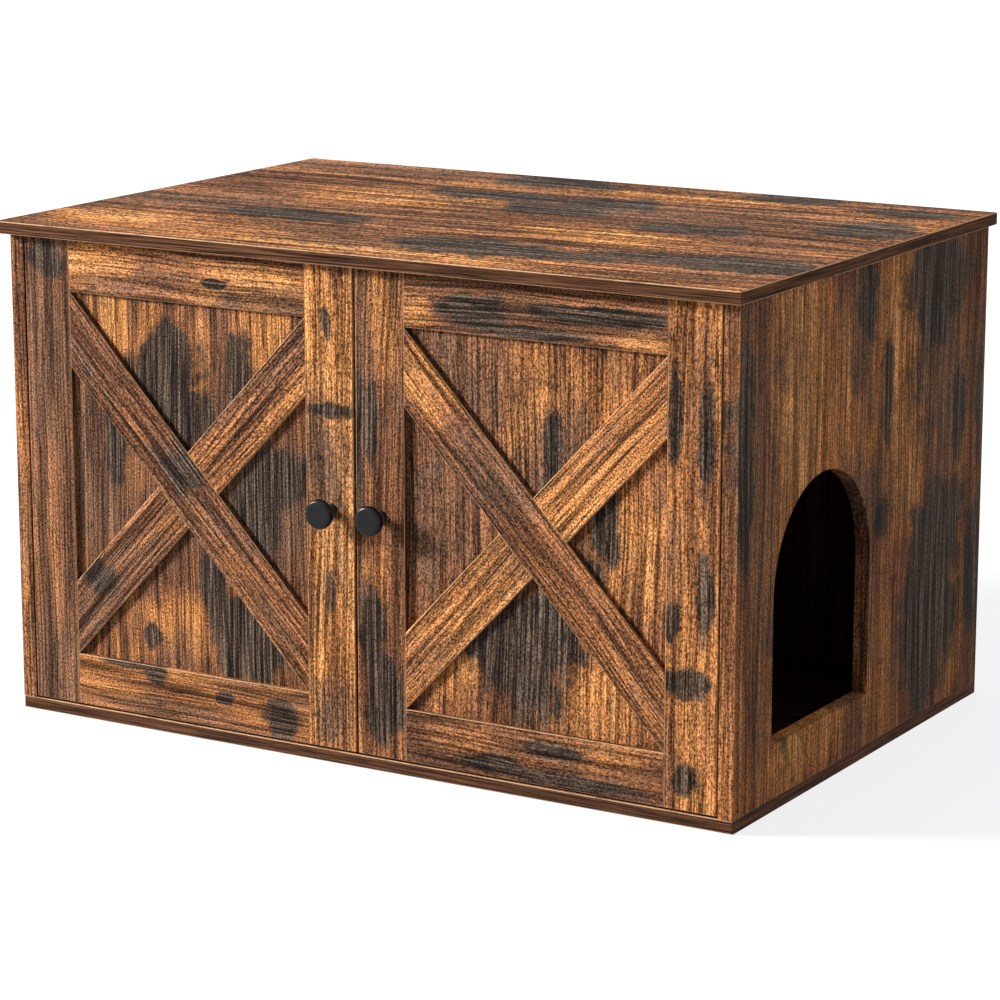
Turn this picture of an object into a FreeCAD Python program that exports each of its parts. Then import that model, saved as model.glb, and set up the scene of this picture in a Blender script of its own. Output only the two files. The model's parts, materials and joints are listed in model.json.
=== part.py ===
import FreeCAD, Part
import math
import operator
import os
import Sketcher
from FreeCAD import Placement, Rotation, Vector

# Cat litter box cabinet with two inset doors and an arched entrance in its right side.
# Millimetres. The origin is the centre of the bottom board's underside, +Z is up and
# the doors face -Y.

document = FreeCAD.newDocument("LitterBoxCabinet")
sheet = document.addObject("Spreadsheet::Sheet", "Sizes")
aliases = []
nodes = []


# ---------------------------------------------------------------- sizes and formulas

class Size:
    """A number together with the expression that ties it to the sheet."""

    def __init__(self, value, text):
        self.value = float(value)
        self.text = text

    def __add__(self, other):
        return combine(operator.add, "+", self, other)

    def __radd__(self, other):
        return combine(operator.add, "+", other, self)

    def __sub__(self, other):
        return combine(operator.sub, "-", self, other)

    def __rsub__(self, other):
        return combine(operator.sub, "-", other, self)

    def __mul__(self, other):
        return combine(operator.mul, "*", self, other)

    def __rmul__(self, other):
        return combine(operator.mul, "*", other, self)

    def __truediv__(self, other):
        return combine(operator.truediv, "/", self, other)

    def __neg__(self):
        return 0 - self


def as_size(item):
    """A plain number as a Size."""
    if isinstance(item, Size):
        return item
    return Size(item, "(%r)" % float(item))


def combine(operation, sign, first, second):
    """The Size that one step of arithmetic gives."""
    first = as_size(first)
    second = as_size(second)
    value = operation(first.value, second.value)
    return Size(value, "(%s %s %s)" % (first.text, sign, second.text))


def root(item):
    """The square root of a Size."""
    return Size(math.sqrt(item.value), "sqrt(%s)" % item.text)


def size(alias, value):
    """Write one driving size into the sheet."""
    aliases.append(alias)
    cell = "B%d" % len(aliases)
    sheet.set("A%d" % len(aliases), alias)
    sheet.set(cell, str(value))
    sheet.setAlias(cell, alias)
    return Size(value, "Sizes." + alias)


# ---------------------------------------------------------------- driving sizes

# Whole cabinet
width = size("width", 800)
depth = size("depth", 545)
height = size("height", 485)
top_thickness = size("top_thickness", 12)
bottom_thickness = size("bottom_thickness", 12)
side_thickness = size("side_thickness", 15)
back_thickness = size("back_thickness", 4)
side_overhang = size("side_overhang", 7.5)
front_overhang = size("front_overhang", 14)
back_overhang = size("back_overhang", 2)
board_chamfer = size("board_chamfer", 0.8)

# Entrance in the right side and the passage in the divider
arch_radius = size("arch_radius", 100)
arch_sill = size("arch_sill", 50)
arch_spring = size("arch_spring", 133)
entrance_setback = size("entrance_setback", 172.5)
passage_setback = size("passage_setback", 372.5)
divider_thickness = size("divider_thickness", 15)
divider_gap = size("divider_gap", 6)

# Doors
panel_thickness = size("panel_thickness", 12)
strip_thickness = size("strip_thickness", 5)
door_side_gap = size("door_side_gap", 2)
door_centre_gap = size("door_centre_gap", 3)
door_end_gap = size("door_end_gap", 2)
stile_width = size("stile_width", 52)
rail_width = size("rail_width", 50)
brace_width = size("brace_width", 50)
strip_chamfer = size("strip_chamfer", 0.6)

# Fits
running_fit = size("running_fit", 0.05)
hole_end_room = size("hole_end_room", 0.5)
moving_gap = size("moving_gap", 0.3)

# Cam locks, cam bolts and dowels
joint_inset = size("joint_inset", 55)
dowel_inset = size("dowel_inset", 95)
cam_radius = size("cam_radius", 7.4)
cam_fit = size("cam_fit", 0.1)
cam_length = size("cam_length", 12)
cam_from_end = size("cam_from_end", 24)
cam_recess_width = size("cam_recess_width", 1.6)
cam_recess_length = size("cam_recess_length", 9)
cam_recess_depth = size("cam_recess_depth", 2)
cam_slot_room = size("cam_slot_room", 0.3)
joint_axis_depth = size("joint_axis_depth", 7.5)
bolt_shank_radius = size("bolt_shank_radius", 2.5)
bolt_thread_length = size("bolt_thread_length", 9)
bolt_shank_end = size("bolt_shank_end", 14)
bolt_neck_radius = size("bolt_neck_radius", 1.5)
bolt_neck_end = size("bolt_neck_end", 22)
bolt_head_radius = size("bolt_head_radius", 3)
bolt_head_length = size("bolt_head_length", 3.5)
bolt_bore_room = size("bolt_bore_room", 0.1)
dowel_radius = size("dowel_radius", 4)
dowel_in_board = size("dowel_in_board", 9)
dowel_in_panel = size("dowel_in_panel", 21)

# Back panel screws
back_screw_radius = size("back_screw_radius", 1.5)
back_screw_length = size("back_screw_length", 16)
back_screw_head_radius = size("back_screw_head_radius", 3.5)
back_screw_head_height = size("back_screw_head_height", 1.6)

# Knobs
knob_inset = size("knob_inset", 25.5)
knob_radius = size("knob_radius", 14)
knob_reach = size("knob_reach", 23)
knob_head_length = size("knob_head_length", 7)
knob_bevel = size("knob_bevel", 1.4)
knob_dish = size("knob_dish", 0.9)
knob_base_radius = size("knob_base_radius", 7)
knob_base_length = size("knob_base_length", 1.5)
knob_stem_radius = size("knob_stem_radius", 4.6)
knob_flare = size("knob_flare", 4)
knob_screw_radius = size("knob_screw_radius", 2)
knob_screw_bite = size("knob_screw_bite", 12)
knob_screw_head_radius = size("knob_screw_head_radius", 4)
knob_screw_head_height = size("knob_screw_head_height", 2)

# Concealed hinges. Pins are placed from the door's hinge edge inwards and from the
# door's back face into the cabinet.
hinge_inset = size("hinge_inset", 90)
arm_inner_pin_across = size("arm_inner_pin_across", 20.7)
arm_inner_pin_behind = size("arm_inner_pin_behind", 11)
arm_outer_pin_across = size("arm_outer_pin_across", 30.4)
arm_outer_pin_behind = size("arm_outer_pin_behind", 2)
cup_inner_pin_across = size("cup_inner_pin_across", 9.3)
cup_inner_pin_inside = size("cup_inner_pin_inside", 5.9)
cup_outer_pin_across = size("cup_outer_pin_across", 13.2)
cup_outer_pin_inside = size("cup_outer_pin_inside", 5.8)
pin_radius = size("pin_radius", 1.5)
open_pin_room = size("open_pin_room", 1.45)
inner_link_half = size("inner_link_half", 3)
link_bar_radius = size("link_bar_radius", 2.2)
link_eye_radius = size("link_eye_radius", 3)
inner_link_rise = size("inner_link_rise", 8.6)
inner_link_heel = size("inner_link_heel", 3)
inner_link_toe = size("inner_link_toe", 11.5)
cheek_thickness = size("cheek_thickness", 1.7)
outer_link_thickness = size("outer_link_thickness", 1.6)
outer_link_rise = size("outer_link_rise", 4.8)
outer_link_knee = size("outer_link_knee", 8.5)
outer_eye_wall = size("outer_eye_wall", 1.1)
arm_eye_radius = size("arm_eye_radius", 3.1)
arm_shoulder = size("arm_shoulder", 8)
arm_web_thickness = size("arm_web_thickness", 1.5)
arm_rail_overlap = size("arm_rail_overlap", 9)
cup_across = size("cup_across", 21.5)
cup_radius = size("cup_radius", 17.5)
cup_depth = size("cup_depth", 11.45)
cup_wall = size("cup_wall", 1.45)
cup_floor = size("cup_floor", 0.6)
cup_rim_radius = size("cup_rim_radius", 19)
cup_rim_thickness = size("cup_rim_thickness", 0.8)
cup_notch_depth = size("cup_notch_depth", 4.5)
inner_lug_thickness = size("inner_lug_thickness", 2)
outer_lug_thickness = size("outer_lug_thickness", 1.5)
cup_wing_width = size("cup_wing_width", 12)
cup_wing_offset = size("cup_wing_offset", 6)
cup_screw_spread = size("cup_screw_spread", 24)
plate_screw_setback = size("plate_screw_setback", 37)
plate_screw_spread = size("plate_screw_spread", 16)
plate_thickness = size("plate_thickness", 2)
plate_length = size("plate_length", 34)
plate_nose = size("plate_nose", 16)
plate_wing_radius = size("plate_wing_radius", 7)
rail_half_width = size("rail_half_width", 3)
rail_height = size("rail_height", 14)
hinge_screw_radius = size("hinge_screw_radius", 1.9)
hinge_screw_head_radius = size("hinge_screw_head_radius", 3.4)
hinge_screw_head_height = size("hinge_screw_head_height", 1.6)
plate_screw_bite = size("plate_screw_bite", 11)
clamp_screw_bite = size("clamp_screw_bite", 7)
small_screw_radius = size("small_screw_radius", 1.5)
small_screw_head_radius = size("small_screw_head_radius", 2.4)
small_screw_head_height = size("small_screw_head_height", 0.8)
small_screw_bite = size("small_screw_bite", 9)

# Magnetic catches and their strike plates
catch_from_centre = size("catch_from_centre", 40)
catch_width = size("catch_width", 36)
catch_length = size("catch_length", 30)
catch_height = size("catch_height", 16)
catch_gap = size("catch_gap", 0.3)
catch_ear_reach = size("catch_ear_reach", 10)
catch_ear_length = size("catch_ear_length", 14)
catch_ear_thickness = size("catch_ear_thickness", 3)
magnet_width = size("magnet_width", 24)
magnet_height = size("magnet_height", 6)
magnet_length = size("magnet_length", 12)
magnet_proud = size("magnet_proud", 1)
magnet_drop = size("magnet_drop", 8)
strike_width = size("strike_width", 38)
strike_height = size("strike_height", 10)
strike_thickness = size("strike_thickness", 1)
strike_screw_spread = size("strike_screw_spread", 15.5)

# How far a cutting outline runs past the piece it cuts
overrun = 5

# Back panel screws in each side panel and in the bottom board
SIDE_SCREW_COUNT = 3
BOTTOM_SCREW_COUNT = 3

# ---------------------------------------------------------------- sizes that follow

body_width = width - 2 * side_overhang
inner_half = body_width / 2 - side_thickness
body_depth = depth - front_overhang - back_overhang - back_thickness
front = -(body_depth / 2)
panel_height = height - top_thickness - bottom_thickness
panel_top = height - top_thickness

door_width = inner_half - door_side_gap - door_centre_gap / 2
door_height = panel_height - 2 * door_end_gap
door_floor = bottom_thickness + door_end_gap
door_back = strip_thickness + panel_thickness
hinge_edge = inner_half - door_side_gap
opening_width = door_width - 2 * stile_width
opening_height = door_height - 2 * rail_width

divider_front = door_back + divider_gap
divider_length = body_depth - divider_front

# Joined panels: the face that shows the cam locks, the front end and length behind the
# front plane, the thickness, and the side on which the thickness lies
JOINED_PANELS = {
    "left": (-inner_half, 0, body_depth, side_thickness, -1),
    "right": (inner_half, 0, body_depth, side_thickness, 1),
    "divider": (-(divider_thickness / 2), divider_front, divider_length, divider_thickness, 1),
}
SIDES = (("left", -1), ("right", 1))
LEVELS = (("lower", door_floor + hinge_inset), ("upper", door_floor + door_height - hinge_inset))

inner_arm_pin = (arm_inner_pin_across, door_back + arm_inner_pin_behind)
outer_arm_pin = (arm_outer_pin_across, door_back + arm_outer_pin_behind)
inner_cup_pin = (cup_inner_pin_across, door_back - cup_inner_pin_inside)
outer_cup_pin = (cup_outer_pin_across, door_back - cup_outer_pin_inside)
pin_hole_radius = pin_radius + running_fit

# Layers of a hinge, measured both ways from its middle plane
cheek_inside = inner_link_half + moving_gap
cheek_outside = cheek_inside + cheek_thickness
inner_lug_outside = cheek_inside + inner_lug_thickness
outer_link_inside = inner_lug_outside + moving_gap
outer_link_outside = outer_link_inside + outer_link_thickness
outer_lug_inside = outer_link_outside + moving_gap
outer_lug_outside = outer_lug_inside + outer_lug_thickness

plate_screw_line = door_back + plate_screw_setback
plate_front = plate_screw_line - plate_nose
plate_rear = plate_front + plate_length

# ---------------------------------------------------------------- modelling helpers

NORMALS = {"XY": 1, "XZ": -1, "YZ": 1}
HORIZONTAL = Rotation(Vector(0, 0, 1), 0)
TOWARDS_FRONT = Rotation(Vector(1, 0, 0), 90)
UPSIDE_DOWN = Rotation(Vector(1, 0, 0), 180)
MIRRORED_HINGE = Rotation(Vector(0, 1, 0), 180)


def outwards(side):
    """The rotation that turns +Z outwards to the given side."""
    return Rotation(Vector(0, 1, 0), 90 * side)


def bind(thing, name, item):
    """Tie a property to the sheet."""
    thing.setExpression(name, as_size(item).text)


def place(thing, position, rotation=HORIZONTAL):
    """Put a piece at a position whose three lengths are tied to the sheet."""
    lengths = [as_size(item) for item in position]
    thing.Placement = Placement(Vector(*[item.value for item in lengths]), rotation)
    for axis, length in zip("xyz", lengths):
        bind(thing, "Placement.Base." + axis, length)


def new_body(label, position=(0, 0, 0)):
    """A body of the given name at its place in the cabinet."""
    body = document.addObject("PartDesign::Body", label)
    body.Label = label
    place(body, position)
    return body


def node(thing):
    """Note a piece that gets a file of its own."""
    nodes.append(thing)
    return thing


def new_sketch(body, plane, offset):
    """An empty sketch parallel to one of the body's planes."""
    sketch = body.newObject("Sketcher::SketchObject", body.Name + "_sketch")
    role = plane + "_Plane"
    support = [item for item in body.Origin.OriginFeatures if item.Role == role][0]
    sketch.AttachmentSupport = [(support, "")]
    sketch.MapMode = "FlatFace"
    bind(sketch, "AttachmentOffset.Base.z", NORMALS[plane] * as_size(offset))
    return sketch


def hold(sketch, kind, references, item):
    """Add one dimension to a sketch and tie it to the sheet."""
    item = as_size(item)
    number = item.value
    if kind == "Angle":
        number = math.radians(number)
    index = sketch.addConstraint(Sketcher.Constraint(kind, *references, number))
    name = "%s_%d" % (kind, index)
    sketch.renameConstraint(index, name)
    bind(sketch, "Constraints." + name, item)


def hold_point(sketch, edge, end, point):
    """Fix one end or centre of an edge by its two lengths from the origin."""
    hold(sketch, "DistanceX", (-1, 1, edge, end), point[0])
    hold(sketch, "DistanceY", (-1, 1, edge, end), point[1])


def flat(point):
    """A sketch point as a vector of numbers."""
    return Vector(as_size(point[0]).value, as_size(point[1]).value, 0)


def arc_between(start, end, span):
    """The arc from start to end that turns through span degrees, left turns positive."""
    chord = end - start
    half = math.radians(abs(span)) / 2
    radius = chord.Length / 2 / math.sin(half)
    left = Vector(-chord.y, chord.x, 0).normalize()
    rise = radius * math.cos(half) * math.copysign(1, span)
    centre = (start + end) * 0.5 + left * rise
    if span < 0:
        start, end = end, start
    first = math.atan2(start.y - centre.y, start.x - centre.x)
    last = first + 2 * half
    return Part.ArcOfCircle(Part.Circle(centre, Vector(0, 0, 1), radius), first, last)


def outline(*points):
    """A closed outline. A third number in a point is the turn of the arc that follows."""
    def draw(sketch):
        offset = sketch.GeometryCount
        count = len(points)
        ends = []
        for index, point in enumerate(points):
            start = flat(point)
            end = flat(points[(index + 1) % count])
            span = point[2] if len(point) > 2 else 0
            if span:
                sketch.addGeometry(arc_between(start, end, span))
            else:
                sketch.addGeometry(Part.LineSegment(start, end))
            ends.append((2, 1) if span < 0 else (1, 2))
        for index, point in enumerate(points):
            before = (index - 1) % count
            joint = (offset + before, ends[before][1], offset + index, ends[index][0])
            sketch.addConstraint(Sketcher.Constraint("Coincident", *joint))
            hold_point(sketch, offset + index, ends[index][0], point)
            if len(point) > 2:
                hold(sketch, "Angle", (offset + index,), abs(point[2]))
    return draw


def mirrored(sign, *points):
    """Points for an outline, turned over left to right where the sign is negative."""
    turned = []
    for point in points:
        rest = tuple(sign * span for span in point[2:])
        turned.append((sign * as_size(point[0]), point[1]) + rest)
    return outline(*turned)


def rectangle(left, low, right, high):
    """An upright rectangle."""
    return outline((left, low), (right, low), (right, high), (left, high))


def circle(right, up, radius):
    """A full circle."""
    def draw(sketch):
        centre = flat((right, up))
        edge = sketch.addGeometry(Part.Circle(centre, Vector(0, 0, 1), as_size(radius).value))
        hold_point(sketch, edge, 3, (right, up))
        hold(sketch, "Radius", (edge,), radius)
    return draw


def slot(first, second, radius):
    """A bar with round ends between two points."""
    def draw(sketch):
        start = flat(first)
        end = flat(second)
        along = (end - start).normalize()
        aside = Vector(-along.y, along.x, 0) * radius.value
        heading = math.atan2(along.y, along.x)
        quarter = math.pi / 2
        edge = sketch.GeometryCount
        tip_circle = Part.Circle(end, Vector(0, 0, 1), radius.value)
        tail_circle = Part.Circle(start, Vector(0, 0, 1), radius.value)
        sketch.addGeometry(Part.LineSegment(start - aside, end - aside))
        sketch.addGeometry(Part.ArcOfCircle(tip_circle, heading - quarter, heading + quarter))
        sketch.addGeometry(Part.LineSegment(end + aside, start + aside))
        sketch.addGeometry(Part.ArcOfCircle(tail_circle, heading + quarter, heading + 3 * quarter))
        for step in range(4):
            joint = (edge + step, 2, edge + (step + 1) % 4, 1)
            sketch.addConstraint(Sketcher.Constraint("Tangent", *joint))
        hold_point(sketch, edge + 1, 3, second)
        hold_point(sketch, edge + 3, 3, first)
        hold(sketch, "Radius", (edge + 1,), radius)
        hold(sketch, "Radius", (edge + 3,), radius)
    return draw


def straight_feature(body, kind, plane, start, length, shapes):
    """A pad or pocket of the given length that begins at the start."""
    sketch = new_sketch(body, plane, start)
    for draw in shapes:
        draw(sketch)
    feature = body.newObject(kind, body.Name + "_feature")
    feature.Profile = sketch
    bind(feature, "Length", length)
    return feature


def add(body, plane, low, high, *shapes):
    """Add material between two coordinates along the plane's axis."""
    start = high if plane == "XZ" else low
    length = as_size(high) - low
    return straight_feature(body, "PartDesign::Pad", plane, start, length, shapes)


def cut(body, plane, low, high, *shapes):
    """Take material away between two coordinates along the plane's axis."""
    start = low if plane == "XZ" else high
    length = as_size(high) - low
    return straight_feature(body, "PartDesign::Pocket", plane, start, length, shapes)


def turn(body, *points):
    """Add a turned solid from a profile of radii and heights."""
    sketch = new_sketch(body, "XZ", 0)
    outline(*points)(sketch)
    feature = body.newObject("PartDesign::Revolution", body.Name + "_turned")
    feature.Profile = sketch
    feature.ReferenceAxis = (sketch, ["V_Axis"])
    feature.Angle = 360
    return feature


def between(sign, first, second):
    """Two distances to one side of the origin as a low and a high coordinate."""
    if sign > 0:
        return first, second
    return -as_size(second), -as_size(first)


def ease_edges(body, axis, sides, amount):
    """Chamfer the edges of the body's outermost faces across an axis."""
    document.recompute()
    base = body.Tip
    box = base.Shape.BoundBox
    limits = [getattr(box, axis.upper() + side) for side in sides]
    names = []
    for index, face in enumerate(base.Shape.Faces):
        low = getattr(face.BoundBox, axis.upper() + "Min")
        high = getattr(face.BoundBox, axis.upper() + "Max")
        if any(abs(low - limit) < 1e-4 and abs(high - limit) < 1e-4 for limit in limits):
            names.append("Face%d" % (index + 1))
    chamfer = body.newObject("PartDesign::Chamfer", body.Name + "_edges")
    chamfer.Base = (base, names)
    bind(chamfer, "Size", amount)


def group(label, pieces):
    """One node of equal pieces, each a master shape at a place of its own."""
    links = []
    for index, (master, position, rotation) in enumerate(pieces):
        link = document.addObject("App::Link", "%s_%d" % (label, index + 1))
        link.LinkedObject = master
        place(link, position, rotation)
        links.append(link)
    compound = document.addObject("Part::Compound", label)
    compound.Label = label
    compound.Links = links
    return node(compound)


# ---------------------------------------------------------------- shared masters

def screw_master(label, radius, length, head_radius, head_height):
    """A pan-head screw along +Z with its head below the origin."""
    body = new_body(label)
    add(body, "XY", -head_height, 0, circle(0, 0, head_radius))
    add(body, "XY", 0, length, circle(0, 0, radius))
    return body


def pin_master(label, length):
    """A plain pin along +Z, from the origin up."""
    body = new_body(label)
    add(body, "XY", 0, length, circle(0, 0, pin_radius))
    return body


# ---------------------------------------------------------------- boards and joinery

def joint_lines(start, length, inset):
    """The two distances from the front at which a panel's fittings stand."""
    return (start + inset, start + length - inset)


def board_joint_holes(board, bolt_span, dowel_span):
    """Holes in a board, each from a low to a high level, for all panels' bolts and dowels."""
    bolts = []
    dowels = []
    for face, start, length, thickness, side in JOINED_PANELS.values():
        axis = face + side * joint_axis_depth
        for line in joint_lines(start, length, joint_inset):
            bolts.append(circle(axis, line, bolt_shank_radius + running_fit))
        for line in joint_lines(start, length, dowel_inset):
            dowels.append(circle(axis, line, dowel_radius + running_fit))
    cut(board, "XY", *bolt_span, *bolts)
    cut(board, "XY", *dowel_span, *dowels)


def make_top_board():
    """Top board that stands out over the doors and the sides."""
    board = node(new_body("top_board", (0, front, panel_top)))
    rear = body_depth + back_thickness + back_overhang
    add(board, "XY", 0, top_thickness, rectangle(-(width / 2), -front_overhang, width / 2, rear))
    ease_edges(board, "z", ("Min", "Max"), board_chamfer)
    bolt_depth = bolt_thread_length + hole_end_room
    dowel_depth = dowel_in_board + hole_end_room
    board_joint_holes(board, (0, bolt_depth), (0, dowel_depth))
    holes = []
    for name, side in SIDES:
        for end in (-1, 1):
            hole = (catch_screw_across(side, end), catch_screw_line)
            holes.append(circle(*hole, small_screw_radius + running_fit))
    cut(board, "XY", 0, small_screw_bite + hole_end_room, *holes)


def make_bottom_board():
    """Bottom board under the side panels and the divider."""
    board = node(new_body("bottom_board", (0, front, 0)))
    add(board, "XY", 0, bottom_thickness, rectangle(-(body_width / 2), 0, body_width / 2, body_depth))
    ease_edges(board, "y", ("Min",), board_chamfer)
    bolt_floor = bottom_thickness - bolt_thread_length - hole_end_room
    dowel_floor = bottom_thickness - dowel_in_board - hole_end_room
    board_joint_holes(board, (bolt_floor, bottom_thickness), (dowel_floor, bottom_thickness))
    bite = back_screw_length - back_thickness + hole_end_room
    holes = [circle(x, z, back_screw_radius + running_fit) for x, z in bottom_back_screws()]
    cut(board, "XZ", body_depth - bite, body_depth, *holes)


def arch(setback):
    """Arched opening with square lower corners, measured along the panel."""
    low = arch_sill
    spring = arch_sill + arch_spring
    first = setback - arch_radius
    last = setback + arch_radius
    return outline((first, low), (last, low), (last, spring, 180), (first, spring))


def make_upright_panel(label, key, arch_setback=None):
    """Upright panel with its bores for cam locks, bolts and dowels, and any arch."""
    face, start, length, thickness, side = JOINED_PANELS[key]
    panel = node(new_body(label, (face, front + start, bottom_thickness)))
    low, high = between(side, 0, thickness)
    add(panel, "YZ", low, high, rectangle(0, 0, length, panel_height))
    if arch_setback is not None:
        cut(panel, "YZ", low, high, arch(arch_setback - start))
    bolt_lines = joint_lines(0, length, joint_inset)
    dowel_lines = joint_lines(0, length, dowel_inset)
    axis = side * joint_axis_depth
    cams = []
    for line in bolt_lines:
        for level in (cam_from_end, panel_height - cam_from_end):
            cams.append(circle(line, level, cam_radius + cam_fit))
    low, high = between(side, 0, cam_length + hole_end_room)
    cut(panel, "YZ", low, high, *cams)
    bores = [circle(axis, line, bolt_head_radius + bolt_bore_room) for line in bolt_lines]
    cut(panel, "XY", 0, cam_from_end, *bores)
    cut(panel, "XY", panel_height - cam_from_end, panel_height, *bores)
    holes = [circle(axis, line, dowel_radius + running_fit) for line in dowel_lines]
    deep = dowel_in_panel + hole_end_room
    cut(panel, "XY", 0, deep, *holes)
    cut(panel, "XY", panel_height - deep, panel_height, *holes)
    return panel


def make_side_panel(label, key, side, arch_setback=None):
    """Side panel, with the screw holes of the hinges and of the back panel."""
    panel = make_upright_panel(label, key, arch_setback)
    low, high = between(side, 0, plate_screw_bite + hole_end_room)
    holes = []
    for name, level in LEVELS:
        for sign in (-1, 1):
            up = level - bottom_thickness + sign * plate_screw_spread
            holes.append(circle(plate_screw_line, up, hinge_screw_radius + running_fit))
    cut(panel, "YZ", low, high, *holes)
    bite = back_screw_length - back_thickness + hole_end_room
    middle = side * side_thickness / 2
    holes = []
    for level in side_back_levels():
        holes.append(circle(middle, level - bottom_thickness, back_screw_radius + running_fit))
    cut(panel, "XZ", body_depth - bite, body_depth, *holes)


def side_back_levels():
    """Heights of the screws that hold the back panel to each side."""
    spacing = panel_height / SIDE_SCREW_COUNT
    return [bottom_thickness + spacing * (index + 0.5) for index in range(SIDE_SCREW_COUNT)]


def bottom_back_screws():
    """Places of the screws that hold the back panel to the bottom board."""
    spacing = body_width / BOTTOM_SCREW_COUNT
    first = -(body_width / 2) + spacing / 2
    return [(first + index * spacing, bottom_thickness / 2) for index in range(BOTTOM_SCREW_COUNT)]


def back_screws():
    """Places of all back panel screws, as distances across and up."""
    places = bottom_back_screws()
    for name, side in SIDES:
        middle = side * (inner_half + side_thickness / 2)
        places += [(middle, level) for level in side_back_levels()]
    return places


def make_back_panel():
    """Thin back panel under the top board."""
    panel = node(new_body("back_panel", (0, front + body_depth, 0)))
    half = body_width / 2
    add(panel, "XZ", 0, back_thickness, rectangle(-half, 0, half, panel_top))
    holes = [circle(x, z, back_screw_radius + running_fit) for x, z in back_screws()]
    cut(panel, "XZ", 0, back_thickness, *holes)


def make_back_panel_screws():
    """Pan-head screws of the back panel."""
    master = screw_master("back_screw_master", back_screw_radius, back_screw_length,
                          back_screw_head_radius, back_screw_head_height)
    line = front + body_depth + back_thickness
    group("back_panel_screws", [(master, (x, line, z), TOWARDS_FRONT) for x, z in back_screws()])


def cam_master():
    """Cam lock with its visible face at the origin and its slot open towards -Y."""
    cam = new_body("cam_master")
    add(cam, "XY", -cam_length, 0, circle(0, 0, cam_radius))
    half_long = cam_recess_length / 2
    half_wide = cam_recess_width / 2
    cut(cam, "XY", -cam_recess_depth, 0, rectangle(-half_long, -half_wide, half_long, half_wide))
    cut(cam, "XY", -cam_recess_depth, 0, rectangle(-half_wide, -half_long, half_wide, half_long))
    axis = -joint_axis_depth
    neck = bolt_neck_radius + cam_slot_room
    head = bolt_head_radius + cam_slot_room
    head_low = bolt_neck_end - cam_slot_room - cam_from_end
    head_high = bolt_neck_end + bolt_head_length + cam_slot_room - cam_from_end
    cut(cam, "XY", -cam_length, axis + neck, rectangle(-neck, -cam_radius, neck, 0))
    cut(cam, "XY", -cam_length, axis + head, rectangle(-head, head_low, head, head_high))
    return cam


def bolt_master():
    """Cam bolt along +Z: thread in the board below the origin, head up in the cam."""
    bolt = new_body("bolt_master")
    add(bolt, "XY", -bolt_thread_length, bolt_shank_end, circle(0, 0, bolt_shank_radius))
    add(bolt, "XY", bolt_shank_end, bolt_neck_end, circle(0, 0, bolt_neck_radius))
    head_end = bolt_neck_end + bolt_head_length
    add(bolt, "XY", bolt_neck_end, head_end, circle(0, 0, bolt_head_radius))
    return bolt


def dowel_master():
    """Dowel along +Z, with the joint at the origin."""
    dowel = new_body("dowel_master")
    add(dowel, "XY", -dowel_in_board, dowel_in_panel, circle(0, 0, dowel_radius))
    return dowel


def make_joinery():
    """Cam locks, cam bolts and dowels of all three upright panels."""
    cam = cam_master()
    bolt = bolt_master()
    dowel = dowel_master()
    cams = []
    bolts = []
    dowels = []
    for face, start, length, thickness, side in JOINED_PANELS.values():
        axis = face + side * joint_axis_depth
        for upwards in (1, -1):
            seat = bottom_thickness if upwards > 0 else panel_top
            rotation = HORIZONTAL if upwards > 0 else UPSIDE_DOWN
            cam_rotation = Rotation(Vector(0, -side * upwards, 0), Vector(0, 0, upwards),
                                    Vector(-side, 0, 0), "ZYX")
            for line in joint_lines(start, length, joint_inset):
                cam_level = seat + upwards * cam_from_end
                cams.append((cam, (face, front + line, cam_level), cam_rotation))
                bolts.append((bolt, (axis, front + line, seat), rotation))
            for line in joint_lines(start, length, dowel_inset):
                dowels.append((dowel, (axis, front + line, seat), rotation))
    group("cam_locks", cams)
    group("cam_bolts", bolts)
    group("dowels", dowels)


# ---------------------------------------------------------------- doors

def door_point(side, inwards, back, up):
    """A cabinet place from a door's hinge edge, front face and lower end."""
    return (side * (hinge_edge - inwards), front + back, door_floor + up)


def hinge_levels_on_door():
    """Heights of the hinges above the door's lower end."""
    return [level - door_floor for name, level in LEVELS]


strike_inwards = hinge_edge - catch_from_centre
strike_middle = panel_top - magnet_drop - door_floor
knob_inwards = door_width - knob_inset
knob_level = door_height / 2
cup_screw_inwards = cup_across + cup_wing_offset


def make_door_panel(name, side):
    """Flat door panel with its cup bores and screw holes."""
    panel = node(new_body(name + "_door_panel", door_point(side, 0, 0, 0)))
    inwards = -side
    low, high = between(inwards, 0, door_width)
    add(panel, "XZ", strip_thickness, door_back, rectangle(low, 0, high, door_height))
    bores = []
    cup_screws = []
    for level in hinge_levels_on_door():
        bores.append(circle(inwards * cup_across, level, cup_radius))
        for sign in (-1, 1):
            up = level + sign * cup_screw_spread
            cup_screws.append(circle(inwards * cup_screw_inwards, up, small_screw_radius + running_fit))
    cut(panel, "XZ", door_back - cup_depth, door_back, *bores)
    bite = small_screw_bite + hole_end_room
    cut(panel, "XZ", door_back - bite, door_back, *cup_screws)
    strike_screws = []
    for sign in (-1, 1):
        line = inwards * (strike_inwards + sign * strike_screw_spread)
        strike_screws.append(circle(line, strike_middle, small_screw_radius + running_fit))
    cut(panel, "XZ", door_back - bite, door_back, *strike_screws)
    knob_hole = circle(inwards * knob_inwards, knob_level, knob_screw_radius + running_fit)
    cut(panel, "XZ", strip_thickness, door_back, knob_hole)


def make_strip(label, position, *points):
    """One applied strip with an eased front edge."""
    strip = node(new_body(label, position))
    add(strip, "XZ", 0, strip_thickness, outline(*points))
    ease_edges(strip, "y", ("Min",), strip_chamfer)
    return strip


def left_end(side, near, far):
    """The end that is on the left from the front, of two distances from the hinge edge."""
    return near if side < 0 else far


def box_points(wide, tall):
    """Corner points of a strip that starts at the origin."""
    return ((0, 0), (wide, 0), (wide, tall), (0, tall))


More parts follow.
